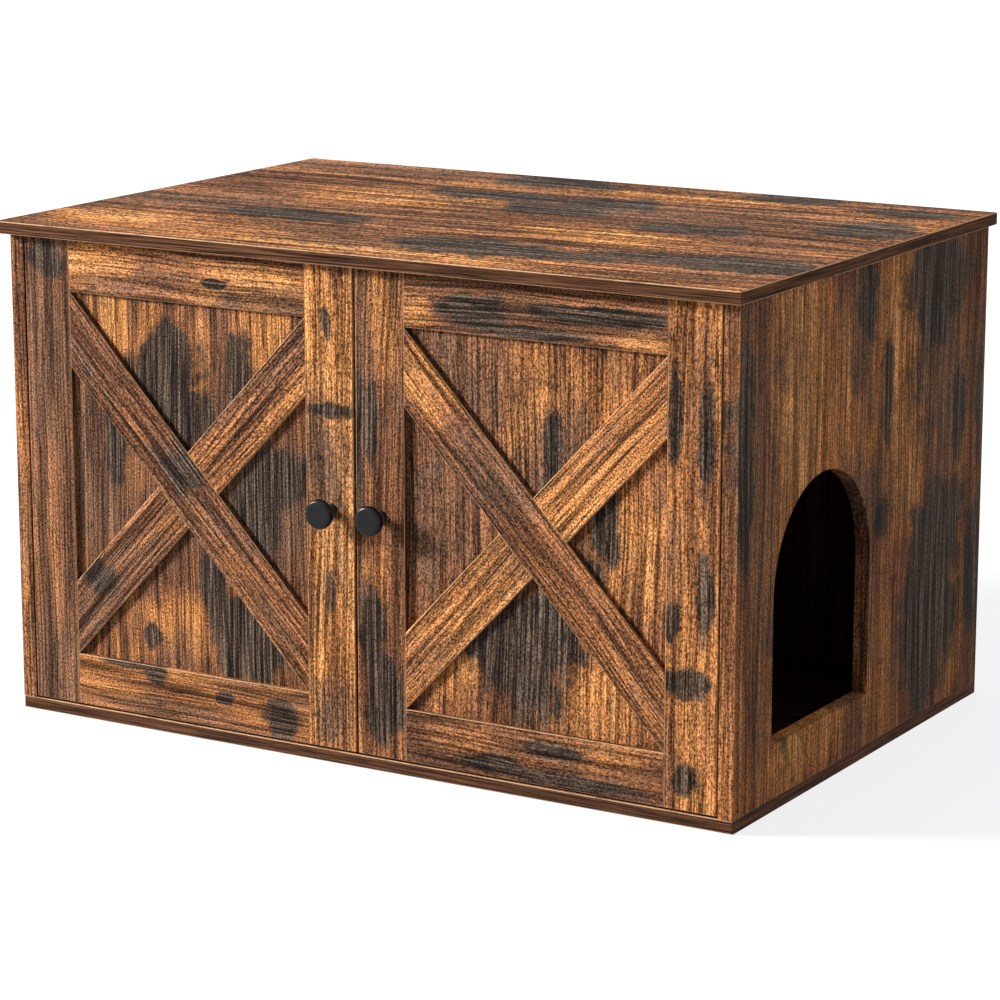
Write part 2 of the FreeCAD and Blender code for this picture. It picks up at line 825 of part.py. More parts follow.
def make_frame(name, side):
    """Stiles and rails around the door."""
    stile = box_points(stile_width, door_height)
    rail = box_points(opening_width, rail_width)
    lock_edge = door_width - stile_width
    hinge_start = left_end(side, 0, stile_width)
    rail_start = left_end(side, stile_width, lock_edge)
    lock_start = left_end(side, lock_edge, door_width)
    make_strip(name + "_hinge_stile", door_point(side, hinge_start, 0, 0), *stile)
    lock = make_strip(name + "_lock_stile", door_point(side, lock_start, 0, 0), *stile)
    from_left = left_end(side, stile_width - knob_inset, knob_inset)
    hole = circle(from_left, knob_level, knob_screw_radius + running_fit)
    cut(lock, "XZ", 0, strip_thickness, hole)
    top_level = door_height - rail_width
    make_strip(name + "_top_rail", door_point(side, rail_start, 0, top_level), *rail)
    make_strip(name + "_bottom_rail", door_point(side, rail_start, 0, 0), *rail)


def make_braces(name, side):
    """Crossed braces: one runs through and two halves meet it.

    The upper edge of the long brace starts in the opening's upper left corner and its
    lower edge ends in the lower right corner, so the brace stays as wide as it should be.
    """
    wide = opening_width
    tall = opening_height
    diagonal = wide * wide + tall * tall
    reach = root(diagonal - brace_width * brace_width)
    cosine = (tall * brace_width + wide * reach) / diagonal
    upright_cut = brace_width / cosine
    slope = (tall - upright_cut) / wide
    start = left_end(side, stile_width, door_width - stile_width)
    corner = door_point(side, start, 0, rail_width)
    long_brace = ((0, tall), (0, tall - upright_cut), (wide, 0), (wide, upright_cut))
    make_strip(name + "_long_brace", corner, *long_brace)
    low_meeting = (tall / slope / 2, tall / 2)
    high_meeting = (wide / 2, (tall + upright_cut) / 2)
    upper = (high_meeting, low_meeting, (wide, tall - upright_cut), (wide, tall))
    lower = [(wide - right, tall - up) for right, up in upper]
    make_strip(name + "_upper_brace", corner, *upper)
    make_strip(name + "_lower_brace", corner, *lower)


def make_knob(name, side):
    """Round knob: base flange, tapered stem and a wide head with a dished face."""
    knob = node(new_body(name + "_knob", door_point(side, knob_inwards, 0, knob_level)))
    head_start = knob_reach - knob_head_length
    stem_low = knob_base_length + knob_flare
    stem_high = head_start - knob_flare
    rim = knob_radius - knob_bevel
    turn(knob,
         (0, 0),
         (knob_base_radius, 0),
         (knob_base_radius, knob_base_length),
         (knob_stem_radius, stem_low),
         (knob_stem_radius, stem_high),
         (knob_stem_radius + knob_flare, head_start),
         (rim, head_start),
         (knob_radius, head_start + knob_bevel),
         (knob_radius, knob_reach - knob_bevel),
         (rim, knob_reach),
         (rim - knob_bevel, knob_reach),
         (0, knob_reach - knob_dish))
    cut(knob, "XY", 0, knob_screw_bite + hole_end_room,
        circle(0, 0, knob_screw_radius + running_fit))
    knob.Placement = Placement(knob.Placement.Base, TOWARDS_FRONT)


def make_knob_screw(name, side):
    """Machine screw from the back of the door into the knob."""
    length = door_back + knob_screw_bite
    screw = node(screw_master(name + "_knob_screw", knob_screw_radius, length,
                              knob_screw_head_radius, knob_screw_head_height))
    place(screw, door_point(side, knob_inwards, door_back, knob_level), TOWARDS_FRONT)


def make_strike_plate(name, side):
    """Steel plate that the catch's magnet holds."""
    plate = node(new_body(name + "_strike_plate", door_point(side, strike_inwards, 0, strike_middle)))
    half_wide = strike_width / 2
    half_tall = strike_height / 2
    rear = door_back + strike_thickness
    add(plate, "XZ", door_back, rear, rectangle(-half_wide, -half_tall, half_wide, half_tall))
    radius = small_screw_radius + running_fit
    holes = [circle(sign * strike_screw_spread, 0, radius) for sign in (-1, 1)]
    cut(plate, "XZ", door_back, rear, *holes)


def make_door_screws(name, side, cup_screw, strike_screw):
    """Screws of the two hinge cups and of the strike plate."""
    pieces = []
    rim = door_back + cup_rim_thickness
    for level in hinge_levels_on_door():
        for sign in (-1, 1):
            up = level + sign * cup_screw_spread
            pieces.append((cup_screw, door_point(side, cup_screw_inwards, rim, up), TOWARDS_FRONT))
    face = door_back + strike_thickness
    for sign in (-1, 1):
        inwards = strike_inwards + sign * strike_screw_spread
        pieces.append((strike_screw, door_point(side, inwards, face, strike_middle), TOWARDS_FRONT))
    group(name + "_door_screws", pieces)


# ---------------------------------------------------------------- concealed hinges

def make_mounting_plate(label, side, level):
    """Winged plate on the side panel with the rail that carries the arm."""
    plate = node(new_body(label, (side * inner_half, front, level)))
    inwards = -side
    low, high = between(inwards, 0, plate_thickness)
    half = cheek_outside
    add(plate, "YZ", low, high, rectangle(plate_front, -half, plate_rear, half))
    wings = slot((plate_screw_line, -plate_screw_spread), (plate_screw_line, plate_screw_spread),
                 plate_wing_radius)
    add(plate, "YZ", low, high, wings)
    radius = hinge_screw_radius + running_fit
    holes = [circle(plate_screw_line, sign * plate_screw_spread, radius) for sign in (-1, 1)]
    cut(plate, "YZ", low, high, *holes)
    low, high = between(inwards, 0, rail_height)
    add(plate, "YZ", low, high, rectangle(plate_front, -rail_half_width, plate_rear, rail_half_width))
    low, high = between(inwards, rail_height - clamp_screw_bite - hole_end_room, rail_height)
    cut(plate, "YZ", low, high, circle(plate_screw_line, 0, radius))


def make_hinge_arm(label, side, level):
    """Cranked arm: two cheeks that carry the link pins, and a web over the rail."""
    arm = node(new_body(label, (side * inner_half, front, level)))
    inwards = -side
    web_top = rail_height + arm_web_thickness
    cheek_low = rail_height - arm_rail_overlap
    inner_pin = (inner_arm_pin[0] + door_side_gap, inner_arm_pin[1])
    outer_pin = (outer_arm_pin[0] + door_side_gap, outer_arm_pin[1])
    web_front = plate_front + arm_shoulder
    side_view = mirrored(
        inwards,
        (cheek_low, plate_rear),
        (web_top, plate_rear),
        (web_top, web_front),
        (outer_pin[0] + arm_eye_radius, outer_pin[1] + arm_shoulder),
        (outer_pin[0] + arm_eye_radius, outer_pin[1]),
        outer_pin,
        inner_pin,
        (inner_pin[0] - arm_eye_radius, inner_pin[1]),
        (cheek_low, plate_front))
    add(arm, "XY", -cheek_outside, cheek_outside, side_view)
    eyes = slot((inwards * inner_pin[0], inner_pin[1]), (inwards * outer_pin[0], outer_pin[1]),
                arm_eye_radius)
    add(arm, "XY", -cheek_outside, cheek_outside, eyes)
    room = mirrored(
        inwards,
        (cheek_low - overrun, plate_rear + overrun),
        (rail_height, plate_rear + overrun),
        (rail_height, web_front),
        (outer_pin[0] + arm_eye_radius + overrun, web_front),
        (outer_pin[0] + arm_eye_radius + overrun, outer_pin[1] - arm_eye_radius - overrun),
        (cheek_low - overrun, outer_pin[1] - arm_eye_radius - overrun))
    cut(arm, "XY", -cheek_inside, cheek_inside, room)
    pins = [circle(inwards * pin[0], pin[1], pin_hole_radius) for pin in (inner_pin, outer_pin)]
    cut(arm, "XY", -cheek_outside, cheek_outside, *pins)
    low, high = between(inwards, rail_height, web_top)
    cut(arm, "YZ", low, high, circle(plate_screw_line, 0, hinge_screw_radius + running_fit))


def make_hinge_cup(label, side, level):
    """Round cup sunk in the door, with lugs for the link pins and a winged rim."""
    cup = node(new_body(label, (side * hinge_edge, front, level)))
    inwards = -side
    middle = inwards * cup_across
    deep = door_back - cup_depth
    floor = deep + cup_floor
    rim = door_back + cup_rim_thickness
    add(cup, "XZ", deep, door_back, circle(middle, 0, cup_radius - running_fit))
    add(cup, "XZ", door_back, rim, circle(middle, 0, cup_rim_radius))
    wing_low, wing_high = between(inwards, cup_screw_inwards - cup_wing_width / 2,
                                  cup_screw_inwards + cup_wing_width / 2)
    wing_end = cup_screw_spread + cup_wing_width / 2
    add(cup, "XZ", door_back, rim, rectangle(wing_low, -wing_end, wing_high, wing_end))
    cut(cup, "XZ", floor, rim, circle(middle, 0, cup_radius - cup_wall))
    wall = cup_across - cup_radius + cup_wall
    notch = mirrored(
        inwards,
        (wall - cup_wall - overrun, door_back - cup_notch_depth),
        (wall + cup_wall, door_back - cup_notch_depth),
        (wall + cup_wall, rim),
        (wall - cup_wall - overrun, rim))
    cut(cup, "XY", -cheek_inside, cheek_inside, notch)
    for sign in (-1, 1):
        add_lug(cup, sign, inwards, inner_cup_pin, floor, (cheek_inside, inner_lug_outside))
        add_lug(cup, sign, inwards, outer_cup_pin, floor, (outer_lug_inside, outer_lug_outside))
    radius = small_screw_radius + running_fit
    screws = [circle(inwards * cup_screw_inwards, sign * cup_screw_spread, radius) for sign in (-1, 1)]
    cut(cup, "XZ", door_back, rim, *screws)


def add_lug(cup, sign, inwards, pin, floor, layer):
    """One bored lug that stands on the cup's floor and holds a pin."""
    low, high = between(sign, *layer)
    first = pin[0] - link_eye_radius
    last = pin[0] + link_eye_radius
    shape = mirrored(inwards, (first, floor), (last, floor), (last, pin[1], 180), (first, pin[1]))
    add(cup, "XY", low, high, shape)
    cut(cup, "XY", low, high, circle(inwards * pin[0], pin[1], pin_hole_radius))


def link_frame(cup_pin, arm_pin):
    """A function that places points by their distances along and beside a link."""
    run = arm_pin[0] - cup_pin[0]
    rise = arm_pin[1] - cup_pin[1]
    length = root(run * run + rise * rise)

    def point(along, beside):
        x = cup_pin[0] + (run * along + rise * beside) / length
        y = cup_pin[1] + (rise * along - run * beside) / length
        return (x, y)
    return point


def inner_link_master():
    """Cranked inner link, bent round the cup's rim and the door's edge."""
    link = new_body("inner_link_master")
    point = link_frame(inner_cup_pin, inner_arm_pin)
    heel = point(inner_link_heel, inner_link_rise)
    toe = point(inner_link_toe, inner_link_rise)
    path = (inner_cup_pin, heel, toe, inner_arm_pin)
    for first, second in zip(path, path[1:]):
        add(link, "XY", -inner_link_half, inner_link_half, slot(first, second, link_bar_radius))
    for pin in (inner_cup_pin, inner_arm_pin):
        add(link, "XY", -inner_link_half, inner_link_half, circle(*pin, link_eye_radius))
    holes = [circle(*pin, pin_hole_radius) for pin in (inner_cup_pin, inner_arm_pin)]
    cut(link, "XY", -inner_link_half, inner_link_half, *holes)
    return link


def outer_link_master():
    """One plate of the outer link. Its eye in the cup is wide, as it also slides."""
    link = new_body("outer_link_master")
    point = link_frame(outer_cup_pin, outer_arm_pin)
    knee = point(outer_link_knee, outer_link_rise)
    half = outer_link_thickness / 2
    path = (outer_cup_pin, knee, outer_arm_pin)
    for first, second in zip(path, path[1:]):
        add(link, "XY", -half, half, slot(first, second, link_bar_radius))
    open_hole = pin_radius + open_pin_room
    add(link, "XY", -half, half, circle(*outer_cup_pin, open_hole + outer_eye_wall))
    add(link, "XY", -half, half, circle(*outer_arm_pin, link_eye_radius))
    cut(link, "XY", -half, half, circle(*outer_cup_pin, open_hole),
        circle(*outer_arm_pin, pin_hole_radius))
    return link


def make_links(name, side, inner_link, outer_link):
    """Inner and outer links of one door's two hinges."""
    rotation = HORIZONTAL if side < 0 else MIRRORED_HINGE
    origins = [(side * hinge_edge, front, level) for label, level in LEVELS]
    group(name + "_inner_links", [(inner_link, origin, rotation) for origin in origins])
    offset = outer_link_inside + outer_link_thickness / 2
    plates = []
    for x, y, z in origins:
        plates.append((outer_link, (x, y, z - offset), rotation))
        plates.append((outer_link, (x, y, z + offset), rotation))
    group(name + "_outer_links", plates)


def pin_centres(side, pin):
    """Where a pin's axis crosses the middle planes of a door's two hinges."""
    return [(side * (hinge_edge - pin[0]), front + pin[1], level) for name, level in LEVELS]


def long_pins(master, side, pin):
    """One pin right through each of a door's hinges."""
    centres = pin_centres(side, pin)
    return [(master, (x, y, level - inner_lug_outside), HORIZONTAL) for x, y, level in centres]


def stub_pins(master, side, pin, low, high):
    """Two short pins in each of a door's hinges, above and below its middle."""
    pieces = []
    for x, y, level in pin_centres(side, pin):
        for start in (level + low, level - high):
            pieces.append((master, (x, y, start), HORIZONTAL))
    return pieces


def make_pins():
    """Pins of the arms, and pins of each door's cups."""
    long_pin = pin_master("long_pin_master", 2 * inner_lug_outside)
    arm_stub = pin_master("arm_stub_master", outer_link_outside - cheek_inside)
    cup_stub = pin_master("cup_stub_master", outer_lug_outside - outer_link_inside)
    arm_pins = []
    for name, side in SIDES:
        arm_pins += long_pins(long_pin, side, inner_arm_pin)
        arm_pins += stub_pins(arm_stub, side, outer_arm_pin, cheek_inside, outer_link_outside)
        cup_pins = long_pins(long_pin, side, inner_cup_pin)
        cup_pins += stub_pins(cup_stub, side, outer_cup_pin, outer_link_inside, outer_lug_outside)
        group(name + "_hinge_cup_pins", cup_pins)
    group("hinge_arm_pins", arm_pins)


def make_hinge_screws():
    """Screws that hold the mounting plates, and the screws that clamp the arms."""
    plate_screw = screw_master("plate_screw_master", hinge_screw_radius,
                               plate_thickness + plate_screw_bite,
                               hinge_screw_head_radius, hinge_screw_head_height)
    clamp_screw = screw_master("clamp_screw_master", hinge_screw_radius,
                               arm_web_thickness + clamp_screw_bite,
                               hinge_screw_head_radius, hinge_screw_head_height)
    plate_screws = []
    clamp_screws = []
    line = front + plate_screw_line
    for name, side in SIDES:
        for label, level in LEVELS:
            face = side * (inner_half - plate_thickness)
            for sign in (-1, 1):
                position = (face, line, level + sign * plate_screw_spread)
                plate_screws.append((plate_screw, position, outwards(side)))
            web = side * (inner_half - rail_height - arm_web_thickness)
            clamp_screws.append((clamp_screw, (web, line, level), outwards(side)))
    group("mounting_plate_screws", plate_screws)
    group("hinge_arm_screws", clamp_screws)


# ---------------------------------------------------------------- magnetic catches

magnet_front = door_back + strike_thickness + catch_gap
catch_front = magnet_front + magnet_proud
catch_screw_line = catch_front + catch_length / 2


def catch_screw_across(side, end):
    """Distance across to a catch's screw, end -1 or 1."""
    return side * catch_from_centre + end * (catch_width + catch_ear_reach) / 2


def make_catch_housing(name, side):
    """Housing under the top board with a pocket for its magnet and two screwed ears."""
    housing = node(new_body(name + "_catch_housing", (side * catch_from_centre, front, panel_top)))
    half = catch_width / 2
    rear = catch_front + catch_length
    add(housing, "XY", -catch_height, 0, rectangle(-half, catch_front, half, rear))
    ear = half + catch_ear_reach
    ear_low = catch_screw_line - catch_ear_length / 2
    ear_high = catch_screw_line + catch_ear_length / 2
    add(housing, "XY", -catch_ear_thickness, 0, rectangle(-ear, ear_low, ear, ear_high))
    wide = magnet_width / 2 + running_fit
    low = -(magnet_drop + magnet_height / 2 + running_fit)
    high = -(magnet_drop - magnet_height / 2 - running_fit)
    pocket_rear = magnet_front + magnet_length
    cut(housing, "XZ", catch_front, pocket_rear, rectangle(-wide, low, wide, high))
    reach = (catch_width + catch_ear_reach) / 2
    radius = small_screw_radius + running_fit
    screws = [circle(sign * reach, catch_screw_line, radius) for sign in (-1, 1)]
    cut(housing, "XY", -catch_ear_thickness, 0, *screws)


def make_catch_magnets():
    """Magnet block of each catch."""
    master = new_body("magnet_master")
    half = magnet_width / 2
    tall = magnet_height / 2
    add(master, "XZ", magnet_front, magnet_front + magnet_length, rectangle(-half, -tall, half, tall))
    pieces = []
    for name, side in SIDES:
        pieces.append((master, (side * catch_from_centre, front, panel_top - magnet_drop), HORIZONTAL))
    group("catch_magnets", pieces)


def make_catch_screws():
    """Screws that hold the catches under the top board."""
    master = screw_master("catch_screw_master", small_screw_radius,
                          catch_ear_thickness + small_screw_bite,
                          small_screw_head_radius, small_screw_head_height)
    pieces = []
    for name, side in SIDES:
        for end in (-1, 1):
            position = (catch_screw_across(side, end), front + catch_screw_line,
                        panel_top - catch_ear_thickness)
            pieces.append((master, position, HORIZONTAL))
    group("catch_screws", pieces)


# ---------------------------------------------------------------- assembly

def make_cabinet():
    """Boards, panels and their fasteners."""
    make_top_board()
    make_bottom_board()
    make_side_panel("left_side_panel", "left", -1)
    make_side_panel("right_side_panel", "right", 1, entrance_setback)
    make_upright_panel("divider_panel", "divider", passage_setback)
    make_back_panel()
    make_back_panel_screws()
    make_joinery()
    for name, side in SIDES:
        make_catch_housing(name, side)
    make_catch_magnets()
    make_catch_screws()


def make_doors():
    """Both doors with their strips, knobs and strike plates."""
    cup_screw = screw_master("cup_screw_master", small_screw_radius,
                             cup_rim_thickness + small_screw_bite,
                             small_screw_head_radius, small_screw_head_height)
    strike_screw = screw_master("strike_screw_master", small_screw_radius,
                                strike_thickness + small_screw_bite,
                                small_screw_head_radius, small_screw_head_height)
    for name, side in SIDES:
        make_door_panel(name, side)
        make_frame(name, side)
        make_braces(name, side)
        make_knob(name, side)
        make_knob_screw(name, side)
        make_strike_plate(name, side)
        make_door_screws(name, side, cup_screw, strike_screw)


def make_hinges():
    """Two concealed hinges on each door."""
    inner_link = inner_link_master()
    outer_link = outer_link_master()
    for name, side in SIDES:
        for level_name, level in LEVELS:
            label = "%s_%s_hinge" % (level_name, name)
            make_mounting_plate(label + "_plate", side, level)
            make_hinge_arm(label + "_arm", side, level)
            make_hinge_cup(label + "_cup", side, level)
        make_links(name, side, inner_link, outer_link)
    make_pins()
    make_hinge_screws()


def check_document():
    """Stop if any object failed, is empty or takes nothing away where it should."""
    for thing in document.Objects:
        if "Invalid" in thing.State or "Error" in thing.State:
            raise RuntimeError("%s failed: %s" % (thing.Label, thing.State))
        if thing.TypeId == "PartDesign::Pocket":
            before = thing.BaseFeature.Shape.Volume
            if thing.Shape.Volume > before - 1e-6:
                raise RuntimeError("%s cuts nothing" % thing.Label)
    for piece in nodes:
        if piece.Shape.isNull() or not piece.Shape.isValid():
            raise RuntimeError("%s has no valid shape" % piece.Label)


def write_parts():
    """Write each piece to a file that has its name."""
    os.makedirs("parts", exist_ok=True)
    for piece in nodes:
        piece.Shape.exportStep(os.path.join("parts", piece.Label + ".step"))


make_cabinet()
make_doors()
make_hinges()
document.recompute()
check_document()
write_parts()
print("%d pieces written" % len(nodes))
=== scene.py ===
import json
import math

import bmesh
import bpy
from mathutils import Matrix, Vector

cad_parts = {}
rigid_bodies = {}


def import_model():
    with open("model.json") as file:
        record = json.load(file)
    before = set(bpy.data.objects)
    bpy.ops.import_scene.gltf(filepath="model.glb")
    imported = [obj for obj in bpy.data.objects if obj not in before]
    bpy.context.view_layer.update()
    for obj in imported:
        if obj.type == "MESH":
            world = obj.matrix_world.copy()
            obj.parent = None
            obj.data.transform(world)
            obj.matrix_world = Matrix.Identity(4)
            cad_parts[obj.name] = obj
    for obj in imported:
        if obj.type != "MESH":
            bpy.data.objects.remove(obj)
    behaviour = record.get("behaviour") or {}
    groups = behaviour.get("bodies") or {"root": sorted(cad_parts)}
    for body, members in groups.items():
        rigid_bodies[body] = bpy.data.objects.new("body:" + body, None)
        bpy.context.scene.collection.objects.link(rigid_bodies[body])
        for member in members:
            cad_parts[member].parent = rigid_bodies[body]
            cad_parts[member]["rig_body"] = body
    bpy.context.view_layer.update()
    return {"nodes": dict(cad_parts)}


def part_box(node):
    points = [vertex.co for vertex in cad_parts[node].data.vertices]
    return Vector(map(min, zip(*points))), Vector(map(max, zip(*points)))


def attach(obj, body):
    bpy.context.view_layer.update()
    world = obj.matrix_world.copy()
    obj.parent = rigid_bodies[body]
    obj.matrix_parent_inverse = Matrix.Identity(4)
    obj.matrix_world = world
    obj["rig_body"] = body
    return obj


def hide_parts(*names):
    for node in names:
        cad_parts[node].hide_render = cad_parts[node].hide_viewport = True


# Looks of a cat litter box cabinet: printed rustic laminate, black knobs, steel hinges.
# Metres, in the part's own frame: X to the right, Y to the back, Z up.

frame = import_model()
nodes = frame["nodes"]
MM = 0.001
SAME_POINT = 1e-6
SMOOTH_ANGLE = math.radians(35)
WHITE = (1, 1, 1, 1)


# ---------------------------------------------------------------- shader helpers

def colour(red, green, blue):
    """A colour given as it shows on a screen, from 0 to 255, made linear by the sRGB curve."""
    linear = []
    for value in (red, green, blue):
        share = value / 255
        low = share / 12.92
        high = ((share + 0.055) / 1.055) ** 2.4
        linear.append(low if share <= 0.04045 else high)
    return (*linear, 1)


class Graph:
    """Short calls that build the nodes of one node tree."""

    def __init__(self, tree):
        self.nodes = tree.nodes
        self.links = tree.links

    def give(self, socket, value):
        """Link a socket, or set the number or colour that it holds."""
        if isinstance(value, bpy.types.NodeSocket):
            self.links.new(value, socket)
        else:
            socket.default_value = value

    def node(self, kind, inputs, **settings):
        """A new node with its settings and inputs."""
        made = self.nodes.new("ShaderNode" + kind)
        for name, value in settings.items():
            setattr(made, name, value)
        for key, value in inputs.items():
            self.give(made.inputs[key], value)
        return made

    def math(self, operation, first, second=0.0, third=0.0, clamp=False):
        inputs = {0: first, 1: second, 2: third}
        return self.node("Math", inputs, operation=operation, use_clamp=clamp).outputs[0]

    def noise(self, vector, scale=1.0, detail=3.0, roughness=0.55, distortion=0.0):
        inputs = {"Vector": vector, "Scale": scale, "Detail": detail, "Roughness": roughness,
                  "Distortion": distortion}
        return self.node("TexNoise", inputs).outputs[0]

    def smooth(self, value, low, high, first=0.0, last=1.0):
        """The value eased from one range to another."""
        inputs = {"Value": value, "From Min": low, "From Max": high, "To Min": first, "To Max": last}
        return self.node("MapRange", inputs, interpolation_type="SMOOTHSTEP").outputs[0]

    def linear(self, value, low, high, first, last):
        """The value taken evenly from one range to another."""
        inputs = {"Value": value, "From Min": low, "From Max": high, "To Min": first, "To Max": last}
        return self.node("MapRange", inputs).outputs[0]

    def ramp(self, value, stops):
        """The colour at a value, between stops of a position and a colour."""
        made = self.node("ValToRGB", {0: value})
        elements = made.color_ramp.elements
        while len(elements) < len(stops):
            elements.new(0.5)
        for element, (position, shade) in zip(elements, stops):
            element.position = position
            element.color = shade
        return made.outputs[0]

    def blend(self, share, first, second):
        """Two colours mixed."""
        made = self.node("Mix", {}, data_type="RGBA")
        self.give(made.inputs[0], share)
        self.give(made.inputs[6], first)
        self.give(made.inputs[7], second)
        return made.outputs[2]

    def combine(self, x, y, z):
        return self.node("CombineXYZ", {0: x, 1: y, 2: z}).outputs[0]

    def separate(self, vector):
        return self.node("SeparateXYZ", {0: vector}).outputs

    def dot(self, vector, direction):
        made = self.node("VectorMath", {0: vector, 1: direction}, operation="DOT_PRODUCT")
        return made.outputs["Value"]

    def length(self, vector):
        return self.node("VectorMath", {0: vector}, operation="LENGTH").outputs["Value"]

    def scaled(self, vector, factor):
        return self.node("VectorMath", {0: vector, 3: factor}, operation="SCALE").outputs[0]

    def mapped(self, vector, scale, shift):
        """The vector times a scale of its own on each axis, plus a shift."""
        inputs = {0: vector, 1: scale, 2: shift}
        return self.node("VectorMath", inputs, operation="MULTIPLY_ADD").outputs[0]

    def stretched(self, u, v, w, along, beside):
        """Texture coordinates drawn out along the grain."""
        return self.combine(self.math("MULTIPLY", u, along), self.math("MULTIPLY", v, beside),
                            self.math("MULTIPLY", w, beside))


def new_material(name):
    """An empty material with a Principled shader, and calls that fill it."""
    material = bpy.data.materials.new(name)
    material.use_nodes = True
    graph = Graph(material.node_tree)
    return material, graph, graph.nodes["Principled BSDF"]


def object_point(graph):
    """The surface point in the frame of the part at rest."""
    return graph.node("TexCoord", {}).outputs["Object"]


# ---------------------------------------------------------------- printed grain

DEEP = colour(72, 42, 30)
BROWN = colour(112, 72, 48)
AMBER = colour(150, 97, 58)
GOLD = colour(174, 115, 64)
PALE = colour(196, 138, 84)
DULL = colour(104, 75, 57)
SMOKE = colour(44, 37, 33)
SMOKE_LIGHT = colour(84, 70, 58)
WOOD_TONES = [(0.14, DEEP), (0.38, BROWN), (0.55, AMBER), (0.72, GOLD), (0.92, PALE)]

# The noises of the print: their scale along the grain and beside it, and their look.
NOISES = {
    "plank": (2.4, 9.0, dict(detail=3.0)),
    "band": (4.0, 48.0, dict(detail=4.0, roughness=0.62)),
    "streak": (4.0, 140.0, dict(detail=3.0, roughness=0.6)),
    "fine": (8.0, 480.0, dict(detail=2.0, roughness=0.7)),
    "speck": (520.0, 900.0, dict(detail=1.0)),
    "cloud": (6.5, 15.0, dict(detail=5.0, roughness=0.66, distortion=0.5)),
    "pores": (70.0, 520.0, dict(detail=1.0)),
}
WANDER_SCALES = (2.6, 6.0)
WANDER_REACH = 0.026

# How far each noise moves the tone of the wood, and the dark smoke that lies over it.
TONE_WEIGHTS = {"plank": 0.8, "band": 0.95, "streak": 0.6}
SMOKE_WEIGHTS = {"cloud": 2.1, "band": 0.9, "streak": 1.3, "fine": 0.9}
MIDDLE_TONE = 0.445

# A range is two values of what comes in, and then what comes out there, or else 0 and 1.
GREY_RANGE = (0.54, 0.36, 0.0, 0.6)
SMOKE_RANGE = (0.16, 0.84, 0.0, 0.96)
SMOKE_FIBRES = (0.42, 0.66)

# For light and dark fibres: the range of each noise, and the gains that it stands for.
FIBRE_GAINS = {
    "streak": (0.38, 0.62, 0.76, 1.24),
    "fine": (0.4, 0.6, 0.48, 1.48),
    "speck": (0.36, 0.64, 0.4, 1.6),
}
EVEN_GAIN = 0.95
LEAST_GAIN = 0.12
PORE_RANGE = (0.6, 0.7, 0.0, 0.6)
PRINT_ROUGHNESS = (0.3, 0.7, 0.72, 0.56)
FINE_HEIGHT = 0.6


def grain_tree():
    """Node tree for the printed grain, with its sockets only."""
    tree = bpy.data.node_groups.new("printed_grain", "ShaderNodeTree")
    sockets = tree.interface
    sockets.new_socket("Grain", in_out="INPUT", socket_type="NodeSocketVector")
    for name in ("Warm", "Dull", "Dark", "Contrast"):
        sockets.new_socket(name, in_out="INPUT", socket_type="NodeSocketFloat")
    sockets.new_socket("Colour", in_out="OUTPUT", socket_type="NodeSocketColor")
    for name in ("Roughness", "Height"):
        sockets.new_socket(name, in_out="OUTPUT", socket_type="NodeSocketFloat")
    return tree


def grain_noises(graph, grain):
    """All noises of the print, by name, on grain that wanders a little."""
    u, v, w = graph.separate(grain)
    wander = graph.noise(graph.stretched(u, v, w, *WANDER_SCALES), detail=2.0)
    v = graph.math("MULTIPLY_ADD", wander, WANDER_REACH, v)
    noises = {}
    for name, (along, beside, look) in NOISES.items():
        noises[name] = graph.noise(graph.stretched(u, v, w, along, beside), **look)
    return noises


def swayed(graph, noises, weights, level):
    """The level, moved up and down by the weighted noises."""
    for name, weight in weights.items():
        level = graph.math("MULTIPLY_ADD", graph.math("SUBTRACT", noises[name], 0.5), weight, level)
    return level


def wood_colour(graph, noises, given):
    """Wood tones with grey wear, and dark smoke over them."""
    tone = swayed(graph, noises, TONE_WEIGHTS, MIDDLE_TONE)
    wood = graph.ramp(graph.math("ADD", tone, given["Warm"]), WOOD_TONES)
    greyness = graph.smooth(noises["cloud"], *GREY_RANGE)
    dullness = graph.math("ADD", greyness, given["Dull"], clamp=True)
    wood = graph.blend(dullness, wood, DULL)
    darkness = swayed(graph, noises, SMOKE_WEIGHTS, given["Dark"])
    smoke = graph.blend(graph.smooth(noises["fine"], *SMOKE_FIBRES), SMOKE, SMOKE_LIGHT)
    return graph.blend(graph.smooth(darkness, *SMOKE_RANGE), wood, smoke)


def fibre_gain(graph, noises, contrast, pit):
    """How much lighter or darker the fibres, specks and pores are than the wood."""
    gain = 1.0
    for name, ranges in FIBRE_GAINS.items():
        gain = graph.math("MULTIPLY", gain, graph.linear(noises[name], *ranges))
    gain = graph.math("MULTIPLY_ADD", graph.math("SUBTRACT", gain, EVEN_GAIN), contrast, 1.0)
    gain = graph.math("MAXIMUM", gain, LEAST_GAIN)
    return graph.math("MULTIPLY", gain, graph.math("SUBTRACT", 1.0, pit))


def grain_group():
    """Node group of the printed grain, shared by all laminate pieces."""
    tree = grain_tree()
    graph = Graph(tree)
    given = graph.nodes.new("NodeGroupInput").outputs
    result = graph.nodes.new("NodeGroupOutput").inputs
    noises = grain_noises(graph, given["Grain"])
    pit = graph.smooth(noises["pores"], *PORE_RANGE)
    gain = fibre_gain(graph, noises, given["Contrast"], pit)
    graph.give(result["Colour"], graph.scaled(wood_colour(graph, noises, given), gain))
    graph.give(result["Roughness"], graph.linear(noises["streak"], *PRINT_ROUGHNESS))
    height = graph.math("MULTIPLY_ADD", noises["fine"], FINE_HEIGHT, noises["streak"])
    graph.give(result["Height"], graph.math("SUBTRACT", height, pit))
    return tree


# ---------------------------------------------------------------- laminate

